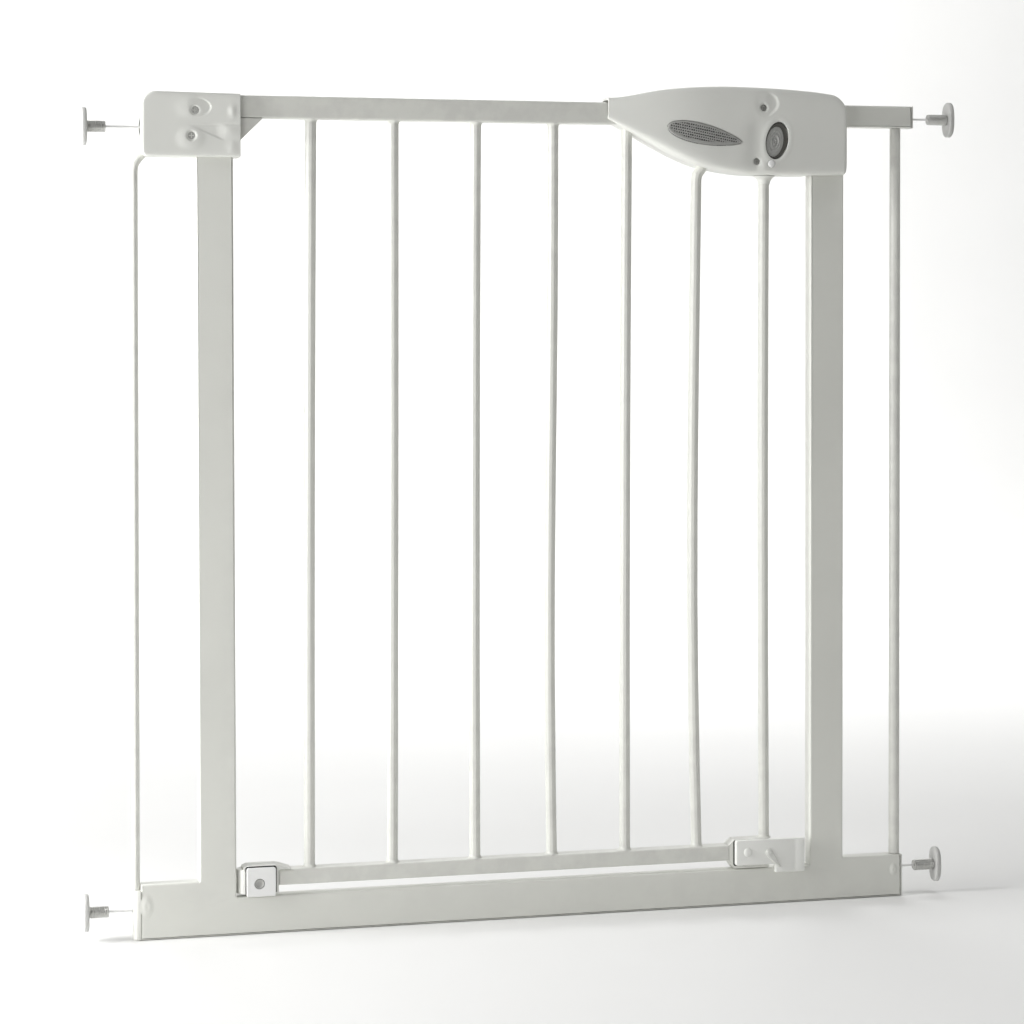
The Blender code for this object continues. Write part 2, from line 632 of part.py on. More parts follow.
def housing_halves():
    front_shell, rear_shell = housing_shell(True), housing_shell(False)
    front = half_shell("latch_housing_front", front_shell, -1,
                       end_shares(front_shell.length, HOUSING_CORNERS[0], 11, 6), WHITE_PLASTIC)
    rear = half_shell("latch_housing_rear", rear_shell, 1,
                      [i / 11 for i in range(12)], WHITE_PLASTIC)
    reach_y = HALF_DEPTH + SLOT_CLEARANCE
    for half in (front, rear):
        cut(half, box(half.name + "_rail_slot", (0.05, -reach_y, DOOR_RAIL_BOTTOM - 0.002),
                      (DOOR_RAIL_RIGHT + 0.001, reach_y, DOOR_RAIL_TOP + SLOT_CLEARANCE),
                      WHITE_PLASTIC))
        for number, shift in ((5, 0.0), (6, 0.0068), (7, 0.0)):
            x = BARS[number - 1].top + shift
            low, high = (0.672, 0.700) if number > 5 else (0.712, 0.730)
            reach = 0.0018 if number == 6 else 0.0
            cut(half, cylinder(f"{half.name}_bar_hole_{number}", (x - reach, 0, low),
                               (x - reach, 0, high), BAR_RADIUS + 0.0008 + reach,
                               WHITE_PLASTIC, 20))
        cut(half, prism(half.name + "_pad_window", [leaf_outline(0.0005)], "y",
                        min(0, side_of(half) * 0.04), max(0, side_of(half) * 0.04),
                        WHITE_PLASTIC))
    cut(front, box("upright_relief", (HOUSING_REAR_RIGHT, -HALF_DEPTH - 0.0005, 0.66),
                   (0.32, 0.01, 0.78), WHITE_PLASTIC))
    cut(front, prism("button_window", [oval_outline(0.0005)], "y", -0.04, -0.01,
                     WHITE_PLASTIC))
    for name, x, z in HOUSING_SCREWS:
        cut(front, cylinder(name + "_hole", (x, -0.03, z), (x, -0.01, z),
                            HOUSING_HEAD + SLOT_CLEARANCE, WHITE_PLASTIC, 20))
    x, z = INDICATOR_AT
    cut(front, cylinder("indicator_hole", (x, -0.03, z), (x, -0.01, z),
                        INDICATOR_RADIUS + GAP, WHITE_PLASTIC, 20))
    return [front, rear]


def side_of(half):
    return -1 if half.name.endswith("front") else 1


def grip_pad(name, side):
    """A leaf-shaped pad that follows the housing's swell and stands just proud of it."""
    pad = prism(name, [leaf_outline()], "y", -1.0, 1.0, GREY_RUBBER)
    turn = pad.matrix_world.copy()
    back = turn.inverted()
    for vertex in pad.data.vertices:
        spot = turn @ vertex.co
        outer = spot.y * side > 0
        surface = housing_depth(spot.x)
        spot.y = side * (surface + LEAF_PROUD if outer else surface - LEAF_DEEP)
        vertex.co = back @ spot
    return pad


def button():
    """An oval push button with a round finger dish, sunk below the housing's face."""
    face = BUTTON_SINK - HOUSING_DEPTH
    key = prism("release_button", [oval_outline(-0.0002)], "y", face, face + 0.0080,
                GREY_PLASTIC)
    x, z = BUTTON_CENTRE
    cut(key, cylinder("button_dish", (x, face - 0.001, z), (x, face + 0.0012, z), 0.0078,
                      GREY_PLASTIC, 24, 0.0062))
    return key


def latch_bolt():
    """A flat bolt with a bevelled nose, and a square tail that its spring pushes on."""
    nose = RIGHT_INNER - GAP - 0.0012 - 0.0004
    outline = [(0.2400, -0.0040), (nose - 0.0040, -0.0040), (nose, 0.0010), (nose, 0.0040),
               (0.2400, 0.0040)]
    bolt = prism("latch_bolt", [outline], "z", BOLT_Z - 0.0055, BOLT_Z + 0.0055, ZINC)
    return bolt


def bolt_spring():
    """A compression spring behind the bolt."""
    turns, radius, wire = 5, 0.0030, 0.0004
    start, end, per_turn = 0.2265, 0.2392, 10
    points = []
    for i in range(turns * per_turn + 1):
        angle = 2 * math.pi * i / per_turn
        points.append((start + (end - start) * i / (turns * per_turn),
                       radius * math.cos(angle), BOLT_Z + radius * math.sin(angle)))
    return bent_rod("bolt_spring", points, wire, ZINC, 1)


def latch_end_plate():
    """The steel plate that closes the housing's latch end and guides the bolt."""
    plate = box("latch_end_plate", (0.2580, -0.0130, 0.6890), (0.2600, 0.0130, 0.7560),
                WHITE_STEEL)
    cut(plate, box("bolt_window", (0.25, -0.0046, BOLT_Z - 0.0061),
                   (0.27, 0.0046, BOLT_Z + 0.0061), WHITE_STEEL))
    return plate


def bar_collar():
    """A flared collar where the last bar runs up into the housing."""
    x = BARS[6].top
    bore = BAR_RADIUS + GAP
    top = smooth_through(HOUSING_BOTTOM, x) - GAP
    profile = [(0.0104, top), (0.0080, top - 0.0034), (0.0061, top - 0.0070),
               (bore, top - 0.0078), (bore, top)]
    return turned("bar_collar", profile, WHITE_PLASTIC, Matrix.Translation((x, 0, 0)))


def housing_fixings():
    pieces = [bar_collar(), latch_end_plate()]
    for name, x, z in HOUSING_SCREWS:
        pieces.append(screw(name, x, z, 0.0030 - HOUSING_DEPTH, -0.0085, HOUSING_HEAD))
    x, z = INDICATOR_AT
    pieces.append(cylinder("indicator_pin", (x, -HOUSING_DEPTH - 0.0004, z),
                           (x, -HOUSING_DEPTH + 0.0060, z), INDICATOR_RADIUS, WHITE_PLASTIC, 20))
    return pieces


def lower_hinge_sleeve():
    """The door's lower knuckle: a round barrel over the pin and a sleeve on the rail end."""
    profile = [(0, SLEEVE_TOP), (SLEEVE_DEPTH, SLEEVE_TOP), (SLEEVE_DEPTH, SLEEVE_BOTTOM),
               (0, SLEEVE_BOTTOM)]
    sleeve = turned("lower_hinge_sleeve", profile, WHITE_PLASTIC,
                    Matrix.Translation((SLEEVE_X, 0, 0)))
    outline = [(HINGE_X, 0.0364), (-0.2400, 0.0364), (-0.2400, 0.0570), (-0.2285, 0.0570),
               (-0.2395, 0.0606), (-0.2425, 0.0612), (-0.2672, 0.0612), (-0.2716, 0.0594),
               (-0.2716, 0.0572), (HINGE_X, 0.0572)]
    body_depth = SLEEVE_DEPTH - 0.0002
    join(sleeve, prism("sleeve_body", [outline], "y", -body_depth, body_depth, WHITE_PLASTIC))
    cut(sleeve, cylinder("sleeve_bore", (HINGE_X, 0, 0.03), (HINGE_X, 0, 0.0584),
                         BUSH_RADIUS + GAP, WHITE_PLASTIC))
    return sleeve


def lower_hinge_cover():
    left, right, low, high = -0.2693, -0.2430, 0.0341, 0.0600
    cover = prism("lower_hinge_cover", [rounded_rectangle((left, low), (right, high), 0.0012)],
                  "y", -COVER_FRONT, -SLEEVE_DEPTH - GAP, WHITE_PLASTIC)
    x, z = RIVET_AT
    cut(cover, cylinder("rivet_hole", (x, -0.02, z), (x, -0.009, z), RIVET_RADIUS + GAP,
                        WHITE_PLASTIC))
    rivet = cylinder("lower_hinge_rivet", (x, -COVER_FRONT - 0.0002, z),
                     (x, -SLEEVE_DEPTH - GAP, z), RIVET_RADIUS, ZINC)
    return [cover, rivet]


def lower_latch():
    """The shoe on the latch end of the bottom rail and the block screwed to its face."""
    outline = [(LOW_RAIL_RIGHT + GAP, LOW_RAIL_BOTTOM), (SHOE_LEFT, SHOE_BOTTOM),
               (SHOE_RIGHT, SHOE_BOTTOM), (SHOE_RIGHT, SHOE_TOP), (SHOE_LEFT, SHOE_TOP),
               (LOW_RAIL_RIGHT + GAP, LOW_RAIL_TOP)]
    shoe = prism("lower_rail_shoe", [outline], "y", -HALF_DEPTH, HALF_DEPTH, WHITE_STEEL)
    left, right, top, trim = BLOCK_LEFT, BLOCK_RIGHT, BLOCK_TOP, BLOCK_CHAMFER
    face = [(left, BLOCK_SHELF), (BLOCK_STEP, BLOCK_SHELF), (BLOCK_STEP, BLOCK_FOOT + trim / 2),
            (BLOCK_STEP + trim, BLOCK_FOOT), (right - trim, BLOCK_FOOT),
            (right, BLOCK_FOOT + trim), (right, top - trim), (right - trim, top),
            (left + trim, top), (left, top - trim)]
    block = prism("lower_latch_block", [face], "y", -BLOCK_FRONT, -HALF_DEPTH - GAP,
                  WHITE_PLASTIC)
    x, z = BLOCK_PIN_AT
    cut(block, cylinder("block_pin_hole", (x, -0.02, z), (x, -0.005, z), BLOCK_PIN_RADIUS + GAP,
                        WHITE_PLASTIC, 20))
    pin = cylinder("latch_block_pin", (x, SLOT_CLEARANCE - BLOCK_FRONT, z),
                   (x, -HALF_DEPTH - GAP, z), BLOCK_PIN_RADIUS, ZINC, 20)
    x, z = LEVER_PIVOT
    cut(block, cylinder("lever_hole", (x, -0.02, z), (x, -0.005, z), LEVER_PIN_RADIUS + GAP,
                        WHITE_PLASTIC, 16))
    return [shoe, block, pin]


def stop_lever():
    """A small wedge on the block's face that turns on its own stub pin."""
    x, z = LEVER_PIVOT
    outline = arc((x, z), 0.0036, 60, 250, 6) + [(x + 0.0068, z - 0.0128),
                                                 (x + 0.0112, z - 0.0142),
                                                 (x + 0.0122, z - 0.0120)]
    lever = prism("stop_lever", [outline], "y", -LEVER_FRONT, -LEVER_BACK, GREY_PLASTIC)
    join(lever, cylinder("lever_pin", (x, -0.0150, z), (x, -0.0085, z), LEVER_PIN_RADIUS,
                         GREY_PLASTIC, 16))
    return lever


# ---- Wall spindles ------------------------------------------------------------------------


def wall_pad(spindle):
    """An upright oval pad with rounded edges, which the spindle pushes without turning it."""
    steps = 40
    outline = [(PAD_HALF_DEPTH * math.cos(2 * math.pi * i / steps),
                spindle.z + PAD_HALF_HEIGHT * math.sin(2 * math.pi * i / steps))
               for i in range(steps)]
    inner = spindle.pad_x - math.copysign(PAD_THICKNESS, spindle.pad_x)
    low, high = sorted((spindle.pad_x, inner))
    pad = prism("wall_pad_" + spindle.name, [outline], "x", low, high, WHITE_PLASTIC)
    edges = pad.modifiers.new("rounded_edges", "BEVEL")
    edges.width = PAD_EDGE
    edges.segments = 2
    edges.limit_method = "ANGLE"
    return pad


def threaded_spindle(spindle):
    """The thick thread next to the pad and the slim rod that screws into the frame."""
    out = math.copysign(1.0, spindle.pad_x)
    head = PAD_THICKNESS + GAP
    thread = abs(spindle.pad_x - spindle.thread_end)
    end = abs(spindle.pad_x - spindle.stem_end)
    profile = [(0, end), (STEM_RADIUS - 0.0005, end), (STEM_RADIUS, end - 0.0006),
               (STEM_RADIUS, thread), (THREAD_RADIUS - 0.0006, thread),
               (THREAD_RADIUS, thread - 0.0006), (THREAD_RADIUS, head), (0, head)]
    matrix = Matrix.Translation((spindle.pad_x, 0, spindle.z)) @ Matrix.Rotation(
        math.radians(-90 * out), 4, "Y")
    return turned("spindle_" + spindle.name, profile, ZINC, matrix, 20)


# ---- Assembly -----------------------------------------------------------------------------


def build():
    frame_tubes()
    outer_rods()
    hinge_bracket()
    for name, x, z in BRACKET_SCREWS:
        screw(name, x, z, 0.0015 - BRACKET_DEPTH, -HALF_DEPTH - GAP, BRACKET_HEAD)
    upper_hinge()
    lower_hinge_pin()
    corner_inserts()
    striker_plate()
    bushes = [bush("upper_hinge_bush", 0.7299, 0.7466), bush("lower_hinge_bush", 0.0366, 0.0575)]
    hang_on("lift_axis", (HINGE_X, 0, 0), bushes)
    door = door_rails() + door_bars() + housing_halves() + housing_fixings()
    door += [lower_hinge_sleeve()] + lower_hinge_cover() + lower_latch() + [bolt_spring()]
    door_pivot = hang_on("door_axis", (HINGE_X, 0, 0), door)
    levers = (
        ("bolt_axis", (0.2400, 0, BOLT_Z), [latch_bolt()]),
        ("pad_axis_front", (0.157, -HOUSING_DEPTH, 0.719), [grip_pad("grip_pad_front", -1)]),
        ("pad_axis_rear", (0.157, HOUSING_DEPTH, 0.719), [grip_pad("grip_pad_rear", 1)]),
        ("button_axis", (BUTTON_CENTRE[0], -HOUSING_DEPTH, BUTTON_CENTRE[1]), [button()]),
        ("lever_axis", (LEVER_PIVOT[0], 0, LEVER_PIVOT[1]), [stop_lever()]),
    )
    for name, location, pieces in levers:
        pivot = hang_on(name, location, pieces)
        pivot.parent = door_pivot
        pivot.matrix_parent_inverse = door_pivot.matrix_world.inverted()
    for spindle in SPINDLES:
        wall_pad(spindle)
        threaded_spindle(spindle)


build()
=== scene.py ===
"""Looks of the pressure-fit safety gate: fine surfaces, materials, floor, light and camera."""
import json
import math
from collections import namedtuple

import bmesh
import bpy
import numpy as np
from mathutils import Matrix, Vector


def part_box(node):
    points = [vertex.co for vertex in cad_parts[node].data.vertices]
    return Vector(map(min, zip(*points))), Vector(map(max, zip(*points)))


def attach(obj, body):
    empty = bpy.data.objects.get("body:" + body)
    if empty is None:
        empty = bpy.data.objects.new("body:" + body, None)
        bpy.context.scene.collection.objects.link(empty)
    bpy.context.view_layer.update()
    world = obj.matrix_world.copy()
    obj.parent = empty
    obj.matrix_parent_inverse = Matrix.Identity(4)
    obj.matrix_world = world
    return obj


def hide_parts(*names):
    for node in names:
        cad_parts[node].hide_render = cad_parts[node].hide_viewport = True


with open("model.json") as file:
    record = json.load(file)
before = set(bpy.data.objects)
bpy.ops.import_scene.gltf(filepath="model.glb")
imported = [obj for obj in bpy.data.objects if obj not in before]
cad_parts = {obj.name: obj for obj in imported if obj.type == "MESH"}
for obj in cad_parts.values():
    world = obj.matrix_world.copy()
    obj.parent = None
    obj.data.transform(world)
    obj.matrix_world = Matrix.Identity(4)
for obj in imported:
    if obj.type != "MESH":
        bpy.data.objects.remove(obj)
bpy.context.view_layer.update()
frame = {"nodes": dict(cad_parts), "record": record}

NODES = frame["nodes"]
SCENE = bpy.context.scene
FRONT, REAR = -1, 1

# ---- Materials ----------------------------------------------------------------------------


def new_material(name):
    made = bpy.data.materials.new(name)
    made.use_nodes = True
    tree = made.node_tree
    shader = tree.nodes["Principled BSDF"]
    return made, tree, shader


def node(tree, kind, **settings):
    made = tree.nodes.new(kind)
    for key, value in settings.items():
        if key in made.inputs:
            made.inputs[key].default_value = value
        else:
            setattr(made, key, value)
    return made


def noise(tree, coordinates, scale, detail=3.0, roughness=0.55):
    made = node(tree, "ShaderNodeTexNoise", Scale=scale, Detail=detail, Roughness=roughness)
    tree.links.new(coordinates, made.inputs["Vector"])
    return made.outputs["Fac"]


def ramp(tree, value, low, high, start, end):
    """start to end as value goes from low to high. Both are numbers, or both are colours."""
    if isinstance(start, (int, float)):
        made = node(tree, "ShaderNodeMapRange")
        for key, number in (("From Min", low), ("From Max", high), ("To Min", start),
                            ("To Max", end)):
            made.inputs[key].default_value = number
        tree.links.new(value, made.inputs["Value"])
        return made.outputs["Result"]
    made = node(tree, "ShaderNodeValToRGB")
    made.color_ramp.elements[0].position = low
    made.color_ramp.elements[0].color = (*start, 1)
    made.color_ramp.elements[1].position = high
    made.color_ramp.elements[1].color = (*end, 1)
    tree.links.new(value, made.inputs["Fac"])
    return made.outputs["Color"]


def mix_colour(tree, factor, first, second):
    made = tree.nodes.new("ShaderNodeMix")
    made.data_type = "RGBA"
    tree.links.new(factor, made.inputs["Factor"])
    for index, colour in ((6, first), (7, second)):
        if isinstance(colour, tuple):
            made.inputs[index].default_value = (*colour, 1)
        else:
            tree.links.new(colour, made.inputs[index])
    return made.outputs[2]


def finished(name, colour, roughness, *, drift=0.03, grain=900.0, grain_depth=0.00006,
             wave=40.0, wave_depth=0.0, wear=None, edge=0.0006, metallic=0.0):
    """A surface with a slow drift of tone, a fine grain, worn edges and rounded corners.

    drift is how far the tone wanders, grain and wave are bumps per metre with their heights
    in metres, wear is the tone that convex edges go to, and edge is the corner's radius.
    """
    made, tree, shader = new_material(name)
    where = node(tree, "ShaderNodeTexCoord").outputs["Object"]
    slow = noise(tree, where, 7.0, 2.0)
    darker = tuple(c * (1 - drift) for c in colour)
    lighter = tuple(min(1.0, c * (1 + drift)) for c in colour)
    tone = ramp(tree, slow, 0.3, 0.7, darker, lighter)
    if wear:
        edges = tree.nodes.new("ShaderNodeNewGeometry").outputs["Pointiness"]
        broken = noise(tree, where, 60.0, 4.0)
        product = node(tree, "ShaderNodeMath", operation="MULTIPLY")
        tree.links.new(ramp(tree, edges, 0.505, 0.56, 0.0, 1.0), product.inputs[0])
        tree.links.new(ramp(tree, broken, 0.42, 0.62, 0.1, 1.0), product.inputs[1])
        tone = mix_colour(tree, product.outputs[0], tone, wear)
    tree.links.new(tone, shader.inputs["Base Color"])
    patches = noise(tree, where, 24.0, 4.0)
    tree.links.new(ramp(tree, patches, 0.3, 0.7, roughness - 0.05, roughness + 0.06),
                   shader.inputs["Roughness"])
    shader.inputs["Metallic"].default_value = metallic
    normal = None
    if edge:
        corner = node(tree, "ShaderNodeBevel", samples=4)
        corner.inputs["Radius"].default_value = edge
        normal = corner.outputs["Normal"]
    for scale, depth in ((wave, wave_depth), (grain, grain_depth)):
        if not depth:
            continue
        bump = node(tree, "ShaderNodeBump", Strength=1.0, Distance=depth)
        tree.links.new(noise(tree, where, scale, 2.0), bump.inputs["Height"])
        if normal:
            tree.links.new(normal, bump.inputs["Normal"])
        normal = bump.outputs["Normal"]
    tree.links.new(normal, shader.inputs["Normal"])
    return made, tree, shader


WHITE = (0.780, 0.785, 0.735)
POWDER, _, _ = finished("powder_coated_steel", WHITE, 0.34, wear=(0.72, 0.72, 0.68),
                              wave=160.0, wave_depth=0.00004)
PLASTIC, _, _plastic = finished("moulded_plastic", (0.780, 0.785, 0.745), 0.46, grain=1500.0,
                                grain_depth=0.00004, wear=(0.72, 0.72, 0.69))
BRIGHT, _, _bright = finished("bright_plastic", (0.92, 0.92, 0.91), 0.40, grain=1500.0,
                              grain_depth=0.00004)
# Near-black colour for thin plates set where there is only the shadow in a gap: painted shadow.
PAINTED_GAP_SHADOW, _, _ = finished("painted_gap_shadow", (0.045, 0.045, 0.04), 0.8, edge=0.0)
RUBBER, _, _ = finished("grey_rubber", (0.36, 0.36, 0.345), 0.62, drift=0.08, grain=1100.0,
                        grain_depth=0.0001)
# Near-black colour for the grip pad's pits: painted shade for the dark inside them.
PAINTED_PIT_SHADE, _, _ = finished("painted_pit_shade", (0.035, 0.035, 0.032), 0.8, drift=0.1, edge=0.0)
DIAL_DARK, _, _ = finished("dial_rim", (0.115, 0.112, 0.10), 0.42, drift=0.1, edge=0.0003)
DIAL_LIGHT, _, _ = finished("dial_face", (0.40, 0.40, 0.385), 0.36, drift=0.3, edge=0.0003,
                            wave=420.0, wave_depth=0.0004)
PAD_PLASTIC, _, _pad = finished("translucent_plastic", (0.70, 0.70, 0.68), 0.38, drift=0.02,
                                edge=0.0004)
_pad.inputs["Transmission Weight"].default_value = 0.25
ZINC, _, _ = finished("zinc_plate", (0.56, 0.56, 0.54), 0.36, drift=0.16, grain=420.0,
                      grain_depth=0.00012, metallic=0.85, edge=0.0002)
DARK_SCREW, _, _ = finished("dark_screw", (0.40, 0.40, 0.38), 0.5, drift=0.2, edge=0.0002)
RIVET_GREY, _, _ = finished("rivet_grey", (0.46, 0.46, 0.44), 0.45, drift=0.12, edge=0.0003)
BLOCK_WHITE, _, _block = finished("white_latch_plastic", (0.90, 0.905, 0.87), 0.5,
                                  grain=1500.0, grain_depth=0.00004)
STEM, _, _ = finished("white_stem", (0.90, 0.90, 0.89), 0.40, edge=0.0)
for _shader in (_plastic, _bright, _block):
    _shader.inputs["Specular IOR Level"].default_value = 0.22

SLOT_LOOKS = {"white_steel": POWDER, "white_plastic": PLASTIC, "grey_rubber": RUBBER,
              "grey_plastic": DIAL_LIGHT, "zinc": ZINC}


def dress_cad_nodes():
    slots = {part["node"]: part["material_slot"] for part in frame["record"]["subparts"]}
    for name, obj in NODES.items():
        look = SLOT_LOOKS[slots[name]]
        obj.data.materials.clear()
        obj.data.materials.append(look)
        obj.data.shade_smooth()
        obj.data.set_sharp_from_angle(angle=math.radians(35))


# ---- Mesh helpers -------------------------------------------------------------------------


def add_piece(name, data, looks, body, stands_for=(), sharp=40,
              flat=False):
    obj = bpy.data.objects.new(name, data)
    SCENE.collection.objects.link(obj)
    data.materials.clear()
    for look in looks if isinstance(looks, tuple) else (looks,):
        data.materials.append(look)
    data.shade_smooth()
    data.set_sharp_from_angle(angle=math.radians(sharp))
    if flat:
        for polygon in data.polygons:
            polygon.use_smooth = abs(polygon.normal.y) < 0.9999
    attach(obj, body)
    if stands_for:
        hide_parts(*stands_for)
    return obj


def welded(data, distance):
    """The mesh with points closer than the distance joined and its faces turned outward."""
    tidy = bmesh.new()
    tidy.from_mesh(data)
    bmesh.ops.remove_doubles(tidy, verts=tidy.verts, dist=distance)
    bmesh.ops.recalc_face_normals(tidy, faces=tidy.faces)
    tidy.to_mesh(data)
    tidy.free()
    return data


def mesh_of(name, points, faces):
    data = bpy.data.meshes.new(name)
    data.from_pydata([tuple(p) for p in points], [], faces)
    return welded(data, 0.000001)


def grid_faces(rows, columns, wrap=False, start=0):
    faces = []
    for i in range(rows - 1):
        for j in range(columns if wrap else columns - 1):
            k = (j + 1) % columns
            a, b = start + i * columns, start + (i + 1) * columns
            faces.append((a + j, a + k, b + k, b + j))
    return faces


def turned(name, profile, matrix, steps=64):
    """A mesh of (radius, height) points turned about the matrix's Z axis."""
    angles = np.linspace(0, 2 * math.pi, steps, endpoint=False)
    points = []
    for r, h in profile:
        for a in angles:
            points.append(matrix @ Vector((r * math.cos(a), r * math.sin(a), h)))
    return mesh_of(name, points, grid_faces(len(profile), steps, wrap=True))


def along_y(x, y, z):
    """Local Z points towards the viewer's side, -Y."""
    return Matrix.Translation((x, y, z)) @ Matrix.Rotation(math.radians(90), 4, "X")


def plate(name, outline, front, back, edge, resolution=3):
    """A flat plate in the XZ plane with rounded front and back edges."""
    curve = bpy.data.curves.new(name, "CURVE")
    curve.dimensions = "2D"
    curve.fill_mode = "BOTH"
    curve.extrude = (back - front) / 2 - edge
    curve.bevel_depth = edge
    curve.bevel_resolution = resolution
    curve.offset = -edge
    spline = curve.splines.new("POLY")
    spline.points.add(len(outline) - 1)
    for point, (x, z) in zip(spline.points, outline):
        point.co = (x, z, 0, 1)
    spline.use_cyclic_u = True
    holder = bpy.data.objects.new(name, curve)
    SCENE.collection.objects.link(holder)
    bpy.context.view_layer.update()
    graph = bpy.context.evaluated_depsgraph_get()
    data = bpy.data.meshes.new_from_object(holder.evaluated_get(graph))
    bpy.data.objects.remove(holder, do_unlink=True)
    turn = Matrix.Rotation(math.radians(90), 4, "X")
    data.transform(Matrix.Translation((0, (front + back) / 2, 0)) @ turn)
    return welded(data, 0.000002)


def rounded(corners, steps=5):
    """An outline of (x, z, radius) corners with each corner rounded."""
    points = []
    count = len(corners)
    for i, (x, z, radius) in enumerate(corners):
        if not radius:
            points.append((x, z))
            continue
        here = Vector((x, z))
        to_last = (Vector(corners[i - 1][:2]) - here).normalized()
        to_next = (Vector(corners[(i + 1) % count][:2]) - here).normalized()
        half = to_last.angle(to_next) / 2
        reach = radius / math.tan(half)
        centre = here + (to_last + to_next).normalized() * (radius / math.sin(half))
        start = here + to_last * reach - centre
        end = here + to_next * reach - centre
        sweep = start.angle_signed(end)
        for k in range(steps + 1):
            turned_by = Matrix.Rotation(-sweep * k / steps, 2) @ start
            points.append(tuple(centre + turned_by))
    return points


def cut_with(data, cutters):
    """The mesh with every cutter mesh taken out of it."""
    body = bpy.data.objects.new("cut_body", data)
    SCENE.collection.objects.link(body)
    made = []
    for cutter in cutters:
        obj = bpy.data.objects.new("cutter", cutter)
        SCENE.collection.objects.link(obj)
        made.append(obj)
        change = body.modifiers.new("cut", "BOOLEAN")
        change.solver = "EXACT"
        change.object = obj
    bpy.context.view_layer.update()
    graph = bpy.context.evaluated_depsgraph_get()
    result = bpy.data.meshes.new_from_object(body.evaluated_get(graph))
    for obj in (body, *made):
        bpy.data.objects.remove(obj, do_unlink=True)
    return result


# ---- Shapes shared with the CAD model -----------------------------------------------------
GAP = 0.0003
HOUSING_LEFT, HOUSING_RIGHT, HOUSING_REAR_RIGHT = 0.0674, 0.2965, 0.2620
TIP_DEPTH, FULL_DEPTH = 0.0120, 0.0235
HOUSING_TOP = ((0.060, 0.7526), (0.078, 0.7531), (0.121, 0.7608), (0.170, 0.7643),
               (0.218, 0.7638), (0.260, 0.7615), (0.284, 0.7588), (0.300, 0.7567))
HOUSING_BOTTOM = ((0.060, 0.7373), (0.0688, 0.7325), (0.089, 0.7216), (0.109, 0.7111),
                  (0.133, 0.6995), (0.1576, 0.6905), (0.194, 0.6842), (0.228, 0.6832),
                  (0.300, 0.6838))
BRACKET_LEFT, BRACKET_RIGHT, BRACKET_BOTTOM, BRACKET_DEPTH = -0.3594, -0.2718, 0.6930, 0.0140
BRACKET_TOP, BRACKET_SLOPE = 0.7492, 0.0012
BUTTON_CENTRE, BUTTON_SIZE, BUTTON_TILT = (0.2267, 0.7146), (0.0107, 0.0172), math.radians(11.6)
BRACKET_SCREWS = ((-0.3122, 0.7337), (-0.3153, 0.7113))
HOUSING_SCREWS, HOUSING_SCREW_HOLE = ((0.2137, 0.7447), (0.2071, 0.6950)), 0.0031
INDICATOR_AT, INDICATOR_HOLE = (0.2208, 0.6930), 0.0037
LEAF_START, LEAF_END, LEAF_HALF_WIDTH = (0.1215, 0.7266), (0.1921, 0.7126), 0.0089
STOP_LEVER_AT, STOP_LEVER_RADIUS = (0.2220, 0.0494), 0.0035


def smooth_through(keys, x):
    spans = list(zip(keys, keys[1:]))
    index = max(0, min(len(spans) - 1, sum(x > key[0] for key in keys) - 1))
    (x0, y0), (x1, y1) = spans[index]
    before = keys[max(index - 1, 0)]
    after = keys[min(index + 2, len(keys) - 1)]
    width = x1 - x0
    slope0 = (y1 - before[1]) / (x1 - before[0])
    slope1 = (after[1] - y0) / (after[0] - x0)
    t = (x - x0) / width
    return ((2 * t**3 - 3 * t**2 + 1) * y0 + (t**3 - 2 * t**2 + t) * width * slope0
            + (3 * t**2 - 2 * t**3) * y1 + (t**3 - t**2) * width * slope1)


def housing_depth(x):
    share = min(max((x - HOUSING_LEFT) / 0.100, 0.0), 1.0)
    return TIP_DEPTH + (FULL_DEPTH - TIP_DEPTH) * math.sin(share * math.pi / 2)


Shell = namedtuple("Shell", "start direction length top bottom depth closed corners power")


def corner_drop(s, end, radius):
    over = s - (end - radius)
    if radius <= 0 or over <= 0:
        return 0.0
    return radius - math.sqrt(max(radius * radius - over * over, 0.0))


def shell_section(shell, share, inset, side, count):
    end = shell.length - (inset if shell.closed else 0.0)
    s = end * share
    x = shell.start + shell.direction * s
    top, bottom, depth = shell.top(x) - inset, shell.bottom(x) + inset, shell.depth(x) - inset
    if shell.closed:
        high, low, front = (radius - inset for radius in shell.corners)
        top -= corner_drop(s, end, high)
        bottom += corner_drop(s, end, low)
        depth -= corner_drop(s, end, front)
    middle, half = (top + bottom) / 2, (top - bottom) / 2
    points = []
    for j in range(count + 1):
        angle = math.pi * j / count
        rise = -math.copysign(abs(math.cos(angle)) ** (2 / shell.power), math.cos(angle))
        out = abs(math.sin(angle)) ** (2 / shell.power) if 0 < j < count else 0.0
        points.append(Vector((x, side * (GAP / 2 + depth * out), middle + half * rise)))
    return points


def even_spread(points, count):
    """The same line with its points an even distance apart."""
    path = np.array(points)
    steps = np.linalg.norm(np.diff(path, axis=0), axis=1)
    at = np.concatenate([[0], np.cumsum(steps)])
    wanted = np.linspace(0, at[-1], count + 1)
    return np.stack([np.interp(wanted, at, path[:, k]) for k in range(3)], axis=1)


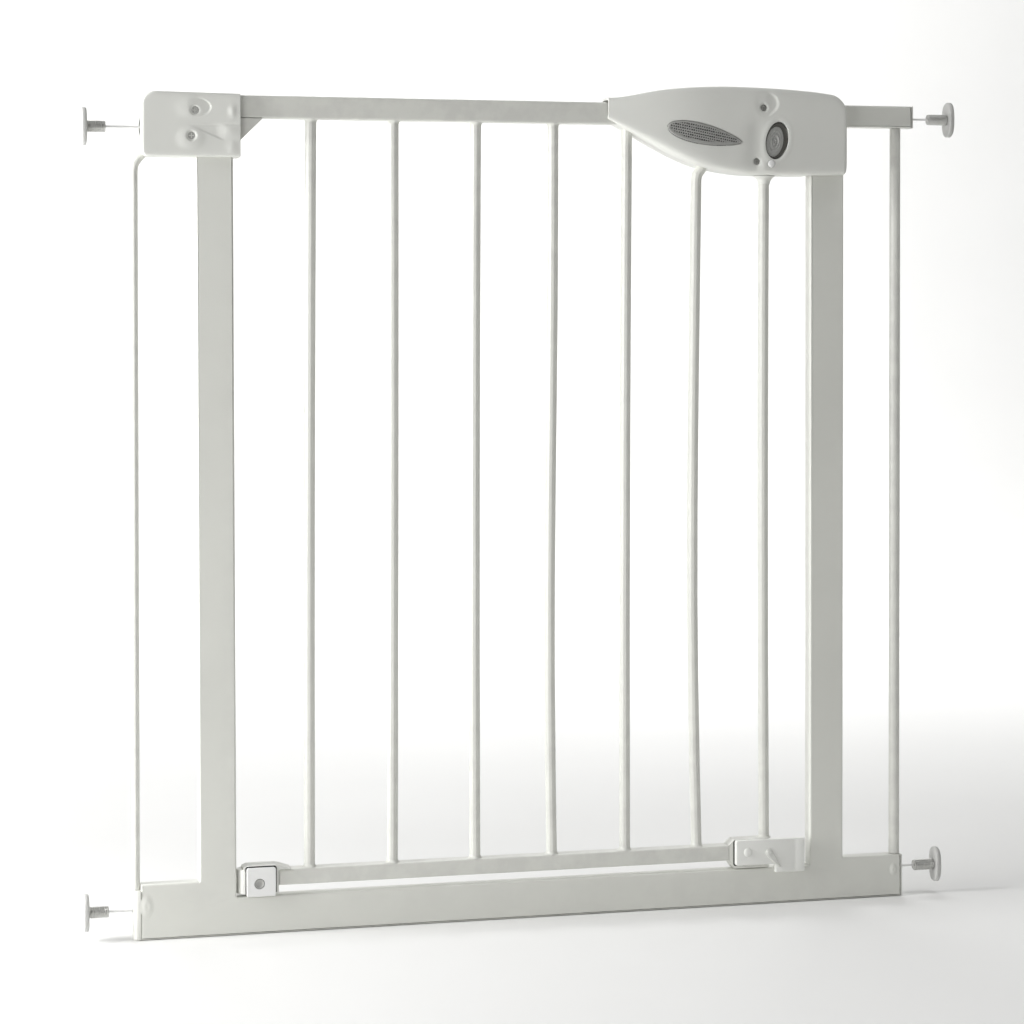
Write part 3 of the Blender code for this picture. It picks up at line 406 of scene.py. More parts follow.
def half_shell(name, shell, side, shares, relief=None, clip=None, count=84, wall=0.0022):
    """A fine half shell. relief(x, z) stands its face out, and clip keeps it off an upright."""
    outer, inner = [], []
    for inset, rows in ((0.0, outer), (wall, inner)):
        for share in shares:
            row = even_spread(shell_section(shell, share, inset, side, 160), count)
            if relief and inset == 0.0:
                face = abs(row[:, 1]).max()
                for point in row:
                    facing = min(1.0, max(0.0, abs(point[1]) / face * 4 - 3))
                    point[1] += side * facing * relief(point[0], point[2])
            if clip:
                clip(row, side)
            rows.append(row)
    outer, inner = np.array(outer), np.array(inner)
    rows = len(shares)
    points = np.concatenate([outer.reshape(-1, 3), inner.reshape(-1, 3)])
    offset = rows * (count + 1)
    faces = grid_faces(rows, count + 1) + grid_faces(rows, count + 1, start=offset)
    for j in (0, count):
        for i in range(rows - 1):
            a, b = i * (count + 1) + j, (i + 1) * (count + 1) + j
            faces.append((a, b, b + offset, a + offset))
    rims = [0] if shell.closed else [0, rows - 1]
    for i in rims:
        for j in range(count):
            a = i * (count + 1) + j
            faces.append((a, a + 1, a + 1 + offset, a + offset))
    if shell.closed:
        last = (rows - 1) * (count + 1)
        for base in (last, last + offset):
            faces.append(tuple(range(base, base + count + 1)))
        faces.append((last, last + count, last + count + offset, last + offset))
    return mesh_of(name, points, faces)


def end_shares(length, radius, plain, round_steps):
    start = 1 - radius / length
    even = [start * i / plain for i in range(plain)]
    turn = [start + (1 - start) * math.sin(math.pi / 2 * i / round_steps)
            for i in range(round_steps + 1)]
    return even + turn


def spot(x, z, cx, cz, rx, rz, tilt=0.0):
    """Distance from a centre, where 1 is on the ellipse."""
    dx, dz = x - cx, z - cz
    a = dx * math.cos(tilt) + dz * math.sin(tilt)
    b = -dx * math.sin(tilt) + dz * math.cos(tilt)
    return math.hypot(a / rx, b / rz)


def dome(r, height, power=2.0):
    return height * math.exp(-(r ** power))


def step(value, start, end):
    t = min(1.0, max(0.0, (value - start) / (end - start)))
    return t * t * (3 - 2 * t)


# ---- Frame --------------------------------------------------------------------------------
TUBE_FRONT, TUBE_BACK = -0.0075, 0.0075
WELD = 0.0012  # radius of an inside corner where tubes are welded


def welded_frame():
    left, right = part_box("left_upright"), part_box("right_upright")
    sill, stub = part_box("threshold_rail"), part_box("stub_rail")
    left_foot, right_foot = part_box("left_foot_rail"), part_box("right_foot_rail")
    sharp = 0.0010
    corners = [
        (left_foot[0].x, 0.0, sharp), (right_foot[1].x, 0.0, sharp),
        (right_foot[1].x, right_foot[1].z, sharp), (right[1].x, right_foot[1].z, WELD),
        (right[1].x, stub[0].z, WELD), (stub[1].x, stub[0].z, sharp),
        (stub[1].x, stub[1].z, sharp), (right[0].x, stub[1].z, sharp),
        (right[0].x, sill[1].z, WELD), (left[1].x, sill[1].z, WELD),
        (left[1].x, left[1].z, sharp), (left[0].x, left[1].z, sharp),
        (left[0].x, left_foot[1].z, WELD), (left_foot[0].x, left_foot[1].z, sharp),
    ]
    data = plate("frame_tubes", rounded(corners), TUBE_FRONT, TUBE_BACK, 0.0016)
    add_piece("frame_tubes", data, POWDER, "frame",
              ("left_upright", "right_upright", "threshold_rail", "left_foot_rail",
               "right_foot_rail", "stub_rail"), flat=True)


def crimp(name, x, z, half_x, half_z, height):
    """A small raised crimp in a tube's face that grips the plug inside it."""
    rings, steps = 10, 40
    points = []
    for i in range(rings + 1):
        r = 1.35 * i / rings
        for k in range(steps):
            a = 2 * math.pi * k / steps
            swell = height * (math.exp(-(r ** 3) * 1.6) - 0.35 * math.exp(-((r / 0.4) ** 2)))
            points.append((x + half_x * r * math.cos(a),
                           TUBE_FRONT - swell + 0.00002 * (r > 1.3),
                           z + half_z * r * math.sin(a)))
    data = mesh_of(name, points, grid_faces(rings + 1, steps, wrap=True))
    add_piece(name, data, POWDER, "frame", sharp=60)


def bar_welds():
    """The bead of weld round each end of each bar."""
    points, faces = [], []
    profile = ((0.00505, 0.0030), (0.00525, 0.0018), (0.0056, 0.0010), (0.0062, 0.0004),
               (0.0068, -0.0002))
    steps = 28
    for number in range(1, 8):
        low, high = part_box(f"door_bar_{number}")
        mesh = NODES[f"door_bar_{number}"].data
        for end, sign in ((low.z, 1), (high.z, -1)):
            near = [v.co.x for v in mesh.vertices if abs(v.co.z - end) < 0.0005]
            x = (min(near) + max(near)) / 2
            start = len(points)
            for r, h in profile:
                for k in range(steps):
                    a = 2 * math.pi * k / steps
                    bead = r * (1 + 0.05 * math.sin(5 * a + number) * (h < 0.0015))
                    points.append((x + bead * math.cos(a), bead * math.sin(a),
                                   end + sign * (h - GAP)))
            faces += grid_faces(len(profile), steps, wrap=True, start=start)
    add_piece("bar_welds", mesh_of("bar_welds", points, faces), POWDER, "door", sharp=80)


# ---- Hinge bracket ------------------------------------------------------------------------


def bracket_relief(x, z):
    """Heights on the bracket's face: a scoop and a boss round the screws, bumps, a wedge."""
    high = 0.0
    across, up = (x + 0.3120) / 0.0142, (z - 0.7365) / 0.0082
    r = math.hypot(across, up)
    inside = 1 - step(r, 0.94, 1.03)
    left = 1 - step(across, -0.5, 0.2)
    high += 0.0008 * left * math.exp(-((r / 1.05) ** 4))
    high -= 0.0009 * (1 - left) * inside * step(across, 0.0, 1.0)
    high -= 0.0010 * (1 - step(spot(x, z, *BRACKET_SCREWS[0], 0.0052, 0.0050), 0.55, 1.0))
    high += 0.0009 * math.exp(-(spot(x, z, -0.3158, 0.7092, 0.0110, 0.0092) ** 4))
    high -= 0.0015 * (1 - step(spot(x, z, *BRACKET_SCREWS[1], 0.0054, 0.0052), 0.55, 1.0))
    for cx, cz, rx, rz, height in ((-0.2788, 0.7330, 0.0030, 0.0046, 0.0009),
                                   (-0.2810, 0.7165, 0.0062, 0.0052, 0.0005),
                                   (-0.2792, 0.7015, 0.0046, 0.0052, 0.0006)):
        high += dome(spot(x, z, cx, cz, rx, rz), height)
    along = (x + 0.3190) / 0.0305
    if 0 < along < 1.4:
        upper, lower = 0.7213, 0.7213 - 0.0129 * along
        band = min(step(upper - z, -0.0008, 0.0010), step(z - lower, -0.0010, 0.0012))
        high -= 0.0008 * along * band * (1 - step(along, 0.80, 1.15))
    high -= 0.0003 * step(x, -0.3050, -0.2950) * math.exp(-(((z - 0.7216) / 0.0012) ** 2))
    return max(high, -0.0019)


def hinge_bracket():
    def top(x):
        return BRACKET_TOP + BRACKET_SLOPE * (BRACKET_RIGHT - x) / (BRACKET_RIGHT - BRACKET_LEFT)

    def sink(x, z):
        """Two round screw bosses on the rear half."""
        total = 0.0
        for cx, cz in BRACKET_SCREWS:
            r = spot(x, z, cx, cz, 0.0060, 0.0060)
            total += 0.0006 * (1 - step(r, 0.9, 1.1)) - 0.0012 * (1 - step(r, 0.45, 0.55))
        return total

    shell = Shell(BRACKET_RIGHT, -1, BRACKET_RIGHT - BRACKET_LEFT, top,
                  lambda x: BRACKET_BOTTOM, lambda x: BRACKET_DEPTH - 0.0012, True,
                  (0.0140, 0.0060, 0.0030), 14)
    shares = end_shares(shell.length, 0.0140, 110, 22)
    for name, side, relief in (("bracket_front", FRONT, bracket_relief),
                               ("bracket_rear", REAR, sink)):
        data = half_shell(name, shell, side, shares, relief, count=150)
        add_piece(name, data, PLASTIC, "frame", ("hinge_" + name,), sharp=50)


# ---- Latch housing ------------------------------------------------------------------------


def leaf_frame():
    start, end = Vector(LEAF_START), Vector(LEAF_END)
    along = (end - start).normalized()
    return start, (end - start).length, along, Vector((-along.y, along.x))


def leaf_width(t):
    return LEAF_HALF_WIDTH * math.sin(math.pi * t ** 0.72) ** 0.62 if 0 < t < 1 else 0.0


def leaf_outline(grow, steps=48):
    start, length, along, up = leaf_frame()
    points = []
    forward = [(1, i) for i in range(steps + 1)] + [(-1, i) for i in range(steps - 1, 0, -1)]
    for sign, i in forward:
        t = (1 - math.cos(math.pi * i / steps)) / 2
        width = leaf_width(t) * (1.0 if sign > 0 else 1.12)
        out = grow if 0 < t < 1 else 0.0
        tip = -grow * 1.5 if i == 0 else (grow * 1.5 if i == steps else 0.0)
        at = start + along * (length * t + tip) + up * sign * (width + out)
        points.append((at.x, at.y))
    return points


def oval_outline(grow, steps=72):
    (cx, cz), (half_x, half_z) = BUTTON_CENTRE, BUTTON_SIZE
    points = []
    for i in range(steps):
        angle = 2 * math.pi * i / steps
        a, b = (half_x + grow) * math.cos(angle), (half_z + grow) * math.sin(angle)
        points.append((cx + a * math.cos(BUTTON_TILT) + b * math.sin(BUTTON_TILT),
                       cz - a * math.sin(BUTTON_TILT) + b * math.cos(BUTTON_TILT)))
    return points


def housing_relief(x, z):
    """Heights on the housing's face round the screws, the button and the pad."""
    high = 0.0
    r = spot(x, z, 0.2180, 0.7490, 0.0100, 0.0098)
    right = step(x, 0.2140, 0.2240)
    high -= 0.0014 * (1 - step(r, 0.84, 1.02 + 0.5 * (1 - right))) * (0.35 + 0.65 * right)
    high -= 0.0013 * (1 - step(spot(x, z, *HOUSING_SCREWS[0], 0.0046, 0.0046), 0.62, 1.0))
    high -= dome(spot(x, z, 0.2060, 0.6962, 0.0085, 0.0095), 0.0012)
    high -= 0.0010 * (1 - step(spot(x, z, *HOUSING_SCREWS[1], 0.0044, 0.0044), 0.62, 1.0))
    high += dome(spot(x, z, 0.2140, 0.6908, 0.0046, 0.0042), 0.0013)
    high -= dome(spot(x, z, 0.2068, 0.7180, 0.0085, 0.0150, -0.12), 0.0013)
    r = spot(x, z, *BUTTON_CENTRE, 0.0122, 0.0190, -BUTTON_TILT)
    high += 0.0003 * math.exp(-(((r - 1.10) / 0.12) ** 2))
    high -= dome(spot(x, z, 0.2270, 0.7335, 0.0110, 0.0060), 0.0005)
    high += dome(spot(x, z, 0.2230, 0.6840, 0.0100, 0.0050), 0.0012)
    return high


def keep_off_upright(row, side):
    if row[0][0] > HOUSING_REAR_RIGHT:
        row[:, 1] = np.minimum(row[:, 1], -0.0080)
    row[:, 1] = np.maximum(row[:, 1], -FULL_DEPTH - 0.0003)


def latch_housing():
    front = Shell(HOUSING_LEFT, 1, HOUSING_RIGHT - HOUSING_LEFT,
                  lambda x: smooth_through(HOUSING_TOP, x),
                  lambda x: smooth_through(HOUSING_BOTTOM, x),
                  lambda x: housing_depth(x) - 0.0006, True,
                  (0.0150, 0.0026, 0.0040), 8)
    rear = front._replace(length=HOUSING_REAR_RIGHT - HOUSING_LEFT, closed=False)
    edge = (HOUSING_REAR_RIGHT - HOUSING_LEFT) / front.length
    shares = sorted(end_shares(front.length, 0.0150, 190, 24) + [edge, edge + 0.0002])
    cutters = [plate("leaf_cut", leaf_outline(0.0004), -0.04, -0.005, 0.0001, 0),
               plate("oval_cut", oval_outline(0.0004), -0.04, -0.005, 0.0001, 0)]
    holes = [(*place, HOUSING_SCREW_HOLE) for place in HOUSING_SCREWS]
    for x, z, radius in (*holes, (*INDICATOR_AT, INDICATOR_HOLE)):
        hole = [(0.0, 0.04), (radius, 0.04), (radius, 0.012), (0.0, 0.012)]
        cutters.append(turned("hole_cut", hole, along_y(x, 0.0, z), 32))
    data = half_shell("housing_front", front, FRONT, shares, housing_relief, keep_off_upright,
                      count=110)
    add_piece("housing_front", cut_with(data, cutters), PLASTIC, "door",
              ("latch_housing_front",), sharp=45)
    data = half_shell("housing_rear", rear, REAR, [i / 120 for i in range(121)], None, None,
                      count=84)
    cutters = [plate("leaf_cut", leaf_outline(0.0004), 0.005, 0.04, 0.0001, 0)]
    add_piece("housing_rear", cut_with(data, cutters), PLASTIC, "door",
              ("latch_housing_rear",), sharp=45)


def grip_pad(name, side, body):
    """A rubber leaf with rows of short pits inside a smooth rim. The pits are coloured near
    black as painted shade.
    """
    start, length, along, up = leaf_frame()
    rows, columns = 210, 56
    row_pitch, dash_pitch = 0.00235, 0.00215
    points, across_all, along_all, edge_all = [], [], [], []
    for i in range(rows + 1):
        t = (1 - math.cos(math.pi * i / rows)) / 2
        width = max(leaf_width(t), 0.00005)
        for j in range(columns + 1):
            w = -1 + 2 * j / columns
            across = width * w * (1.0 if w > 0 else 1.12)
            at = start + along * (length * t) + up * across
            margin = min(width * (1 - abs(w)), length * t * 0.7, length * (1 - t) * 0.7)
            crown = 0.0008 * math.sqrt(max(0.0, 1 - max(0.0, 1 - margin / 0.0014) ** 2))
            points.append([at.x, side * (housing_depth(at.x) - 0.0006 + crown), at.y])
            across_all.append(across)
            along_all.append(length * t)
            edge_all.append(margin)
    faces = grid_faces(rows + 1, columns + 1)
    pits = []
    for face in faces:
        a = sum(along_all[k] for k in face) / 4
        b = sum(across_all[k] for k in face) / 4
        row = math.floor(b / row_pitch)
        in_row = abs(b / row_pitch - row - 0.5) < 0.27
        in_dash = abs((a / dash_pitch + 0.37 * row) % 1 - 0.5) < 0.30
        rim = 0.0016 if b > -0.002 else 0.0026
        pits.append(in_row and in_dash and min(edge_all[k] for k in face) > rim)
    for face, pit in zip(faces, pits):
        if pit:
            for k in face:
                points[k][1] -= side * 0.00012
    data = bpy.data.meshes.new(name)
    data.from_pydata([tuple(p) for p in points], [], faces)
    add_piece(name, data, (RUBBER, PAINTED_PIT_SHADE), body, ("grip_pad_" + name.split("_")[1],),
              sharp=60)
    # Faces in the pits take the near-black painted shade.
    for polygon, pit in zip(data.polygons, pits):
        polygon.material_index = int(pit)
    return data


def release_button():
    """The oval push button: a dark dished rim and a lighter face with rings pressed in it."""
    face = -FULL_DEPTH + 0.0032
    (cx, cz) = BUTTON_CENTRE
    steps = 96

    def oval(r, half_x, half_z, centre_x, centre_z, angle):
        a, b = r * half_x * math.cos(angle), r * half_z * math.sin(angle)
        return (centre_x + a * math.cos(BUTTON_TILT) + b * math.sin(BUTTON_TILT),
                centre_z - a * math.sin(BUTTON_TILT) + b * math.cos(BUTTON_TILT))

    rim = []
    for r, y in ((0.0, 0.0004), (0.80, 0.0004), (0.90, -0.0002), (0.975, -0.0004),
                 (1.0, 0.0004), (1.0, 0.0070), (0.0, 0.0070)):
        for k in range(steps):
            x, z = oval(r, BUTTON_SIZE[0] - 0.0002, BUTTON_SIZE[1] - 0.0002, cx, cz,
                        2 * math.pi * k / steps)
            rim.append((x, face + y, z))
    data = mesh_of("button_rim", rim, grid_faces(7, steps, wrap=True))
    add_piece("button_rim", data, DIAL_DARK, "button", ("release_button",))
    rings = 46
    disc = []
    for i in range(rings + 1):
        r = i / rings
        ring = 0.00045 * math.cos(r * 2 * math.pi * 3.6) * (1 - r ** 3)
        bulge = -0.0009 * math.sqrt(max(0.0, 1 - r ** 6)) + 0.0006 * math.exp(-((r / 0.3) ** 2))
        for k in range(steps):
            angle = 2 * math.pi * k / steps
            swirl = 0.00035 * math.sin(angle * 2 + r * 9) * r * (1 - r) * 4
            x, z = oval(r, 0.0083, 0.0142, cx - 0.0017, cz - 0.0010, angle)
            disc.append((x, face + bulge + ring + swirl, z))
    data = mesh_of("button_face", disc, grid_faces(rings + 1, steps, wrap=True))
    add_piece("button_face", data, DIAL_LIGHT, "button", sharp=80)


def screw_head(name, node_name, radius, body, look):
    """A pan-head screw with a cross recess."""
    low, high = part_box(node_name)
    x, z = (low.x + high.x) / 2, (low.z + high.z) / 2
    matrix = along_y(x, low.y + 0.0022, z)
    profile = [(0.0, 0.0022)]
    for i in range(7):
        angle = math.pi / 2 * i / 6
        profile.append((radius - 0.0009 + 0.0009 * math.sin(angle),
                        0.0013 + 0.0009 * math.cos(angle)))
    tail = low.y + 0.0022 - high.y
    profile += [(radius, 0.0), (0.0016, 0.0), (0.0016, tail), (0.0, tail)]
    data = turned(name, profile, matrix, 40)
    arm, deep = radius * 0.62, 0.0012
    cutters = []
    for a, b in ((arm, 0.00045), (0.00045, arm)):
        outline = [(x - a, z - b), (x + a, z - b), (x + a, z + b), (x - a, z + b)]
        cutters.append(plate("cross", outline, low.y - 0.002, low.y + deep, 0.00002, 0))
    add_piece(name, cut_with(data, cutters), look, body, (node_name,))


def indicator():
    low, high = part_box("indicator_pin")
    x, z = (low.x + high.x) / 2, (low.z + high.z) / 2
    radius = (high.x - low.x) / 2
    profile = [(radius * math.sin(a), -0.0006 + 0.0010 * math.cos(a))
               for a in np.linspace(0, math.pi / 2, 8)]
    profile += [(radius, low.y + 0.0004 - high.y), (0.0, low.y + 0.0004 - high.y)]
    data = turned("indicator", profile, along_y(x, low.y + 0.0004, z), 40)
    add_piece("indicator", data, BRIGHT, "door", ("indicator_pin",))


def collar():
    """The flared collar under the housing, drawn out smoothly onto the last bar."""
    low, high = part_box("bar_collar")
    x, top = (low.x + high.x) / 2, high.z
    profile = [(0.00515, -0.0078), (0.00545, -0.0070)]
    for i in range(15):
        t = i / 14
        profile.append((0.0055 + 0.0049 * t ** 1.9, -0.0068 + 0.0068 * t))
    profile += [(0.0060, 0.0), (0.00515, -0.0070)]
    matrix = Matrix.Translation((x, 0, top))
    add_piece("collar", turned("collar", profile, matrix, 48), PLASTIC, "door",
              ("bar_collar",), sharp=70)


# ---- Lower hinge and lower latch ----------------------------------------------------------


def lower_hinge():
    low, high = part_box("lower_hinge_cover")
    corners = [(low.x, low.z, 0.0012), (high.x, low.z, 0.0012), (high.x, high.z, 0.0022),
               (low.x, high.z, 0.0016)]
    data = plate("hinge_cover", rounded(corners), low.y, high.y, 0.0007)
    rivet_low, rivet_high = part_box("lower_hinge_rivet")
    x, z = (rivet_low.x + rivet_high.x) / 2, (rivet_low.z + rivet_high.z) / 2
    hole = turned("rivet_hole", [(0.0, 0.01), (0.0047, 0.01), (0.0047, -0.01), (0.0, -0.01)],
                  along_y(x, low.y, z), 48)
    add_piece("hinge_cover", cut_with(data, [hole]), BRIGHT, "door", ("lower_hinge_cover",),
              flat=True)
    profile = [(0.0, -0.0012), (0.0012, -0.0012), (0.0024, -0.0010), (0.0033, -0.0005),
               (0.0038, -0.0001), (0.0042, -0.0002), (0.0044, -0.0006), (0.0044, -0.0028),
               (0.0, -0.0028)]
    data = turned("hinge_rivet", profile, along_y(x, rivet_low.y + 0.0003, z), 48)
    add_piece("hinge_rivet", data, RIVET_GREY, "door", ("lower_hinge_rivet",))
    # A thin near-black plate behind the cover, reaching past its left, top and right edges:
    # painted shadow for the gap round the cover.
    left, right, top = low.x - 0.0009, high.x + 0.0009, high.z + 0.0010
    corners = [(left, low.z + 0.0004, 0), (right, low.z + 0.0030, 0), (right, top, 0.0022),
               (left, top, 0.0016)]
    data = plate("hinge_cover_gap_shadow", rounded(corners), high.y + 0.00002, high.y + 0.00026,
                 0.00002, 0)
    add_piece("hinge_cover_gap_shadow", data, PAINTED_GAP_SHADOW, "door")


def foot_cap():
    """The rounded cap that closes the left foot tube, bored for its spindle."""
    low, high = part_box("spindle_insert_lower_left")
    right, top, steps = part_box("left_foot_rail")[0].x - 0.0001, high.z, 24
    outline = [(right - (right - low.x) * math.cos(a) ** 0.6, high.y * math.sin(a))
               for a in np.linspace(-math.pi / 2, math.pi / 2, steps + 1)]
    points = []
    for z, shrink in ((0.0, 0.0006), (0.0006, 0.0), (top - 0.0012, 0.0), (top - 0.0004, 0.0005),
                      (top, 0.0016)):
        for x, y in outline:
            points.append((min(x + shrink, right), y * (1 - shrink / high.y), z))
    faces = grid_faces(5, steps + 1)
    faces += [tuple(range(steps + 1)), tuple(range(4 * (steps + 1), 5 * (steps + 1)))]
    faces += [(k * (steps + 1), k * (steps + 1) + steps, (k + 1) * (steps + 1) + steps,
               (k + 1) * (steps + 1)) for k in range(4)]
    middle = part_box("spindle_lower_left")
    turn = (Matrix.Translation((low.x, 0, (middle[0].z + middle[1].z) / 2))
            @ Matrix.Rotation(math.radians(90), 4, "Y"))
    bore = turned("bore", [(0.0, 0.02), (0.0027, 0.02), (0.0027, -0.01), (0.0, -0.01)], turn, 24)
    data = cut_with(mesh_of("foot_cap", points, faces), [bore])
    add_piece("foot_cap", data, POWDER, "frame", ("spindle_insert_lower_left",), sharp=50)


def lower_latch():
    low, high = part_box("lower_latch_block")
    step_x, step_z = 0.2288, 0.0382
    corners = [(low.x, step_z, 0.0018), (step_x, step_z, 0.0003), (step_x, low.z, 0.0014),
               (high.x, low.z, 0.0012), (high.x, high.z, 0.0012), (low.x, high.z, 0.0018)]
    data = plate("latch_block", rounded(corners), low.y, high.y, 0.0009)
    pin_low, pin_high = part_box("latch_block_pin")
    x, z = (pin_low.x + pin_high.x) / 2, (pin_low.z + pin_high.z) / 2
    hole = turned("pin_hole", [(0.0, 0.01), (0.0038, 0.01), (0.0038, -0.01), (0.0, -0.01)],
                  along_y(x, low.y, z), 48)
    groove = turned("end_round", [(0.0, 0.05), (0.006, 0.05), (0.006, -0.05), (0.0, -0.05)],
                    Matrix.Translation((high.x - 0.0095, low.y - 0.0058, 0.045)), 48)
    add_piece("latch_block", cut_with(data, [hole, groove]), BLOCK_WHITE, "door",
              ("lower_latch_block",), sharp=35)
    profile = [(0.0044 * math.sin(a), -0.0014 + 0.0016 * math.cos(a))
               for a in np.linspace(0, math.pi / 2, 10)]
    profile += [(0.0037, -0.0016), (0.0037, -0.0050), (0.0, -0.0050)]
    data = turned("block_pin", profile, along_y(x, pin_low.y - 0.0014, z), 40)
    add_piece("block_pin", data, BLOCK_WHITE, "door", ("latch_block_pin",))
    # A thin near-black plate behind the block, reaching past its left and lower edges: painted
    # shadow for the gap round the block.
    corners = [(low.x - 0.0010, step_z - 0.0011, 0.002), (step_x - 0.001, step_z - 0.0011, 0),
               (step_x - 0.001, high.z - 0.002, 0), (low.x - 0.0010, high.z - 0.0005, 0.0015)]
    data = plate("latch_block_gap_shadow", rounded(corners), high.y + 0.00002, high.y + 0.00026,
                 0.00002, 0)
    add_piece("latch_block_gap_shadow", data, PAINTED_GAP_SHADOW, "door")


def stop_lever():
    """A small teardrop lever with a domed head over its pin."""
    (x, z), radius = STOP_LEVER_AT, STOP_LEVER_RADIUS
    outline = [(x + radius * math.cos(a), z + radius * math.sin(a))
               for a in np.radians(np.linspace(35, 235, 22))]
    outline += [(x + 0.0088, z - 0.0138), (x + 0.0098, z - 0.0142), (x + 0.0108, z - 0.0139),
                (x + 0.0113, z - 0.0131)]
    data = plate("stop_lever_body", outline, -0.0152, -0.0138, 0.0006)
    add_piece("stop_lever_body", data, PLASTIC, "lever", ("stop_lever",), sharp=45)
    profile = [(0.0026 * math.sin(a), 0.0008 * math.cos(a))
               for a in np.linspace(0, math.pi / 2, 9)]
    profile += [(0.0026, -0.0010), (0.0022, -0.0012), (0.0022, -0.0066), (0.0, -0.0066)]
    data = turned("stop_lever_head", profile, along_y(x, -0.0150, z), 40)
    add_piece("stop_lever_head", data, PLASTIC, "lever", sharp=45)


# ---- Wall spindles ------------------------------------------------------------------------
THREAD_PITCH, STEM_RADIUS = 0.0015, 0.0010


def spindle(corner):
    node_name = "spindle_" + corner
    low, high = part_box(node_name)
    z = (low.z + high.z) / 2
    out = 1 if high.x > 0 else -1
    outer, inner = (high.x, low.x) if out > 0 else (low.x, high.x)
    mesh = NODES[node_name].data
    radius = (high.z - low.z) / 2
    thick = [v.co.x for v in mesh.vertices if abs(v.co.z - z) > radius * 0.95]
    thread_end = min(thick) if out > 0 else max(thick)
    steps = 40
    points = []
    stations = np.arange(0.0, abs(outer - thread_end), 0.00025)
    for s in stations:
        fade = min(1.0, s / 0.001, (stations[-1] - s) / 0.0012 + 0.25)
        for k in range(steps):
            turn = (s / THREAD_PITCH + k / steps) % 1
            ridge = abs(turn * 2 - 1)
            r = radius - 0.00055 + 0.00055 * min(1.0, ridge * 1.35) * fade
            a = 2 * math.pi * k / steps
            points.append((outer - out * s, r * math.cos(a), z + r * math.sin(a)))
    tail = ((radius * 0.5, thread_end), (STEM_RADIUS, thread_end), (STEM_RADIUS, inner),
            (0.0, inner))
    for r, x in tail:
        for k in range(steps):
            a = 2 * math.pi * k / steps
            points.append((x, r * math.cos(a), z + r * math.sin(a)))
    rows = len(stations) + len(tail)
    faces = grid_faces(rows, steps, wrap=True)
    data = bpy.data.meshes.new("thread_" + corner)
    data.from_pydata(points, [], faces)
    add_piece("thread_" + corner, data, (ZINC, STEM), "rod_" + corner, (node_name,), sharp=50)
    for index, polygon in enumerate(data.polygons):
        polygon.material_index = int(index >= (len(stations) + 1) * steps)


def wall_pad(corner):
    """An upright oval disc with an even rim and a shallow groove near its wall-side edge."""
    node_name = "wall_pad_" + corner
    low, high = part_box(node_name)
    z = (low.z + high.z) / 2
    out = 1 if high.x > 0 else -1
    face = high.x if out > 0 else low.x
    depth = high.x - low.x
    half_y, half_z = (high.y - low.y) / 2, (high.z - low.z) / 2
    profile = [(0.0, depth), (0.0066, depth), (half_y - 0.0010, depth),
               (half_y - 0.0003, depth - 0.0003), (half_y, depth - 0.0010), (half_y, 0.0010),
               (half_y - 0.0003, 0.0003), (half_y - 0.0010, 0.0), (half_y - 0.0028, 0.0),
               (half_y - 0.0032, 0.0003), (half_y - 0.0038, 0.0003), (half_y - 0.0042, 0.0),
               (0.0, 0.0)]
    steps, points = 96, []
    for r, h in profile:
        stretch = max(0.0, r - 0.0066) / (half_y - 0.0066)
        power = 1 - 0.22 * stretch
        for k in range(steps):
            a = 2 * math.pi * k / steps
            cosine, sine = math.cos(a), math.sin(a)
            points.append((face - out * h, r * math.copysign(abs(cosine) ** power, cosine),
                           z + (r + (half_z - half_y) * stretch)
                           * math.copysign(abs(sine) ** power, sine)))
    data = mesh_of("pad_" + corner, points, grid_faces(len(profile), steps, wrap=True))
    add_piece("pad_" + corner, data, PAD_PLASTIC, "pad_" + corner, (node_name,), sharp=50)


# ---- Stage --------------------------------------------------------------------------------


def stage():
    """A pale floor that turns up into a wall far behind."""
    made, tree, shader = new_material("pale_floor")
    where = node(tree, "ShaderNodeTexCoord").outputs["Object"]
    tree.links.new(ramp(tree, noise(tree, where, 3.0), 0.3, 0.7, (0.90, 0.90, 0.89),
                        (0.915, 0.915, 0.905)), shader.inputs["Base Color"])
    shader.inputs["Roughness"].default_value = 0.9
    profile = [(-9.0, 0.0), (3.0, 0.0)]
    profile += [(3.0 + 1.5 * math.sin(a), 1.5 - 1.5 * math.cos(a))
                for a in np.linspace(0, math.pi / 2, 24)]
    profile += [(4.5, 9.0)]
    points = [(x, y, z - 0.0004) for y, z in profile for x in (-12.0, 12.0)]
    data = mesh_of("floor", points, grid_faces(len(profile), 2))
    data.flip_normals()
    floor = bpy.data.objects.new("floor", data)
    SCENE.collection.objects.link(floor)
    data.materials.append(made)
    data.shade_smooth()


def area_light(name, place, target, width, power, height):
    light = bpy.data.lights.new(name, "AREA")
    light.energy = power
    light.shape = "RECTANGLE"
    light.size, light.size_y = width, height
    obj = bpy.data.objects.new(name, light)
    SCENE.collection.objects.link(obj)
    obj.location = place
    aim = Vector(target) - Vector(place)
    obj.rotation_euler = aim.to_track_quat("-Z", "Y").to_euler()


# Name, place, target, width, power in watts and height of each area light.
LIGHTS = (
    ("key", (-1.05, -0.90, 0.65), (-0.1, 0.0, 0.42), 0.6, 3.0, 1.2),
    ("side", (-1.9, -0.10, 0.75), (0.0, 0.0, 0.42), 0.7, 53.0, 1.4),
    ("wall", (0.9, 1.3, 2.4), (1.2, 4.2, 1.2), 3.4, 80.0, 0.8),
    ("floor_wash", (0.5, 2.3, 2.6), (0.6, 2.4, 0.0), 2.0, 31.0, 1.2),
    ("floor_front", (0.9, -0.6, 2.4), (1.0, -0.3, 0.0), 1.2, 10.0, 0.8),
)
WORLD = 0.19


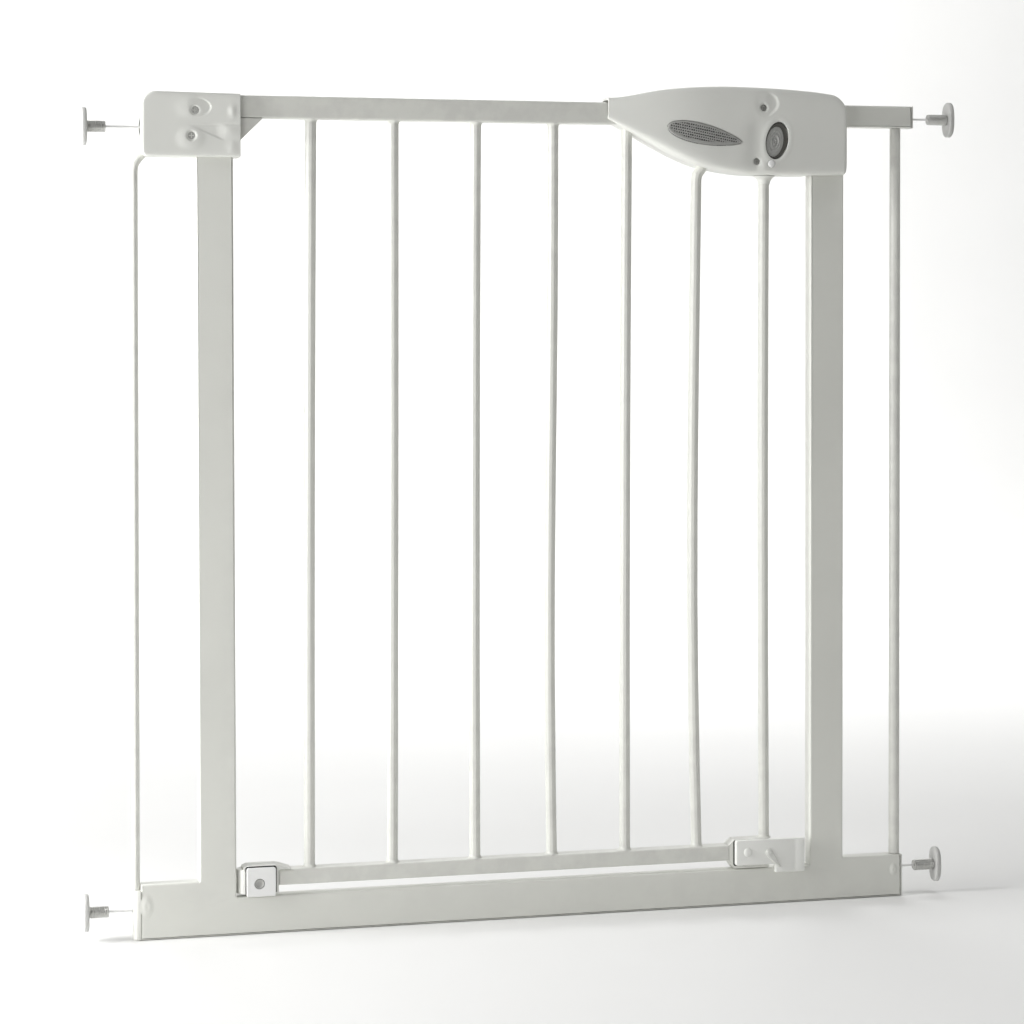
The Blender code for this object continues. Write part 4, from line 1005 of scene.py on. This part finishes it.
def lights():
    world = bpy.data.worlds.new("studio")
    SCENE.world = world
    world.use_nodes = True
    back = world.node_tree.nodes["Background"]
    back.inputs["Color"].default_value = (1.0, 1.0, 0.99, 1)
    back.inputs["Strength"].default_value = WORLD
    for light in LIGHTS:
        area_light(*light)


CAMERA_PLACE = (-0.58566, -2.27169, 0.54146)
CAMERA_YAW, CAMERA_PITCH, CAMERA_ROLL = (math.radians(a) for a in (13.95165, 1.43085, 0.1195))
SENSOR_WIDTH, LENS = 36.0, 89.9476  # millimetres
CAMERA_SHIFT = (-0.0005, -0.1175)


def camera():
    data = bpy.data.cameras.new("view")
    data.sensor_width, data.lens = SENSOR_WIDTH, LENS
    data.shift_x, data.shift_y = CAMERA_SHIFT
    obj = bpy.data.objects.new("view", data)
    SCENE.collection.objects.link(obj)
    turn = (Matrix.Rotation(-CAMERA_YAW, 4, "Z")
            @ Matrix.Rotation(math.pi / 2 - CAMERA_PITCH, 4, "X")
            @ Matrix.Rotation(-CAMERA_ROLL, 4, "Z"))
    obj.matrix_world = Matrix.Translation(CAMERA_PLACE) @ turn
    SCENE.camera = obj
    SCENE.view_settings.view_transform = "Standard"


def build():
    dress_cad_nodes()
    camera()
    stage()
    lights()
    welded_frame()
    crimp("left_crimp", -0.3572, 0.0300, 0.0046, 0.0085, 0.0008)
    crimp("right_crimp", 0.3495, 0.0257, 0.0032, 0.0050, 0.0012)
    bar_welds()
    hinge_bracket()
    latch_housing()
    grip_pad("grip_front", FRONT, "front_grip")
    grip_pad("grip_rear", REAR, "rear_grip")
    release_button()
    for place, radius, body, look in (("bracket", 0.0038, "frame", RIVET_GREY),
                                      ("housing", 0.0030, "door", DARK_SCREW)):
        for level in ("upper", "lower"):
            screw_head(f"{place}_screw_head_{level}", f"{place}_screw_{level}", radius, body,
                       look)
    indicator()
    collar()
    lower_hinge()
    foot_cap()
    lower_latch()
    stop_lever()
    for corner in ("upper_left", "lower_left", "upper_right", "lower_right"):
        spindle(corner)
        wall_pad(corner)


build()
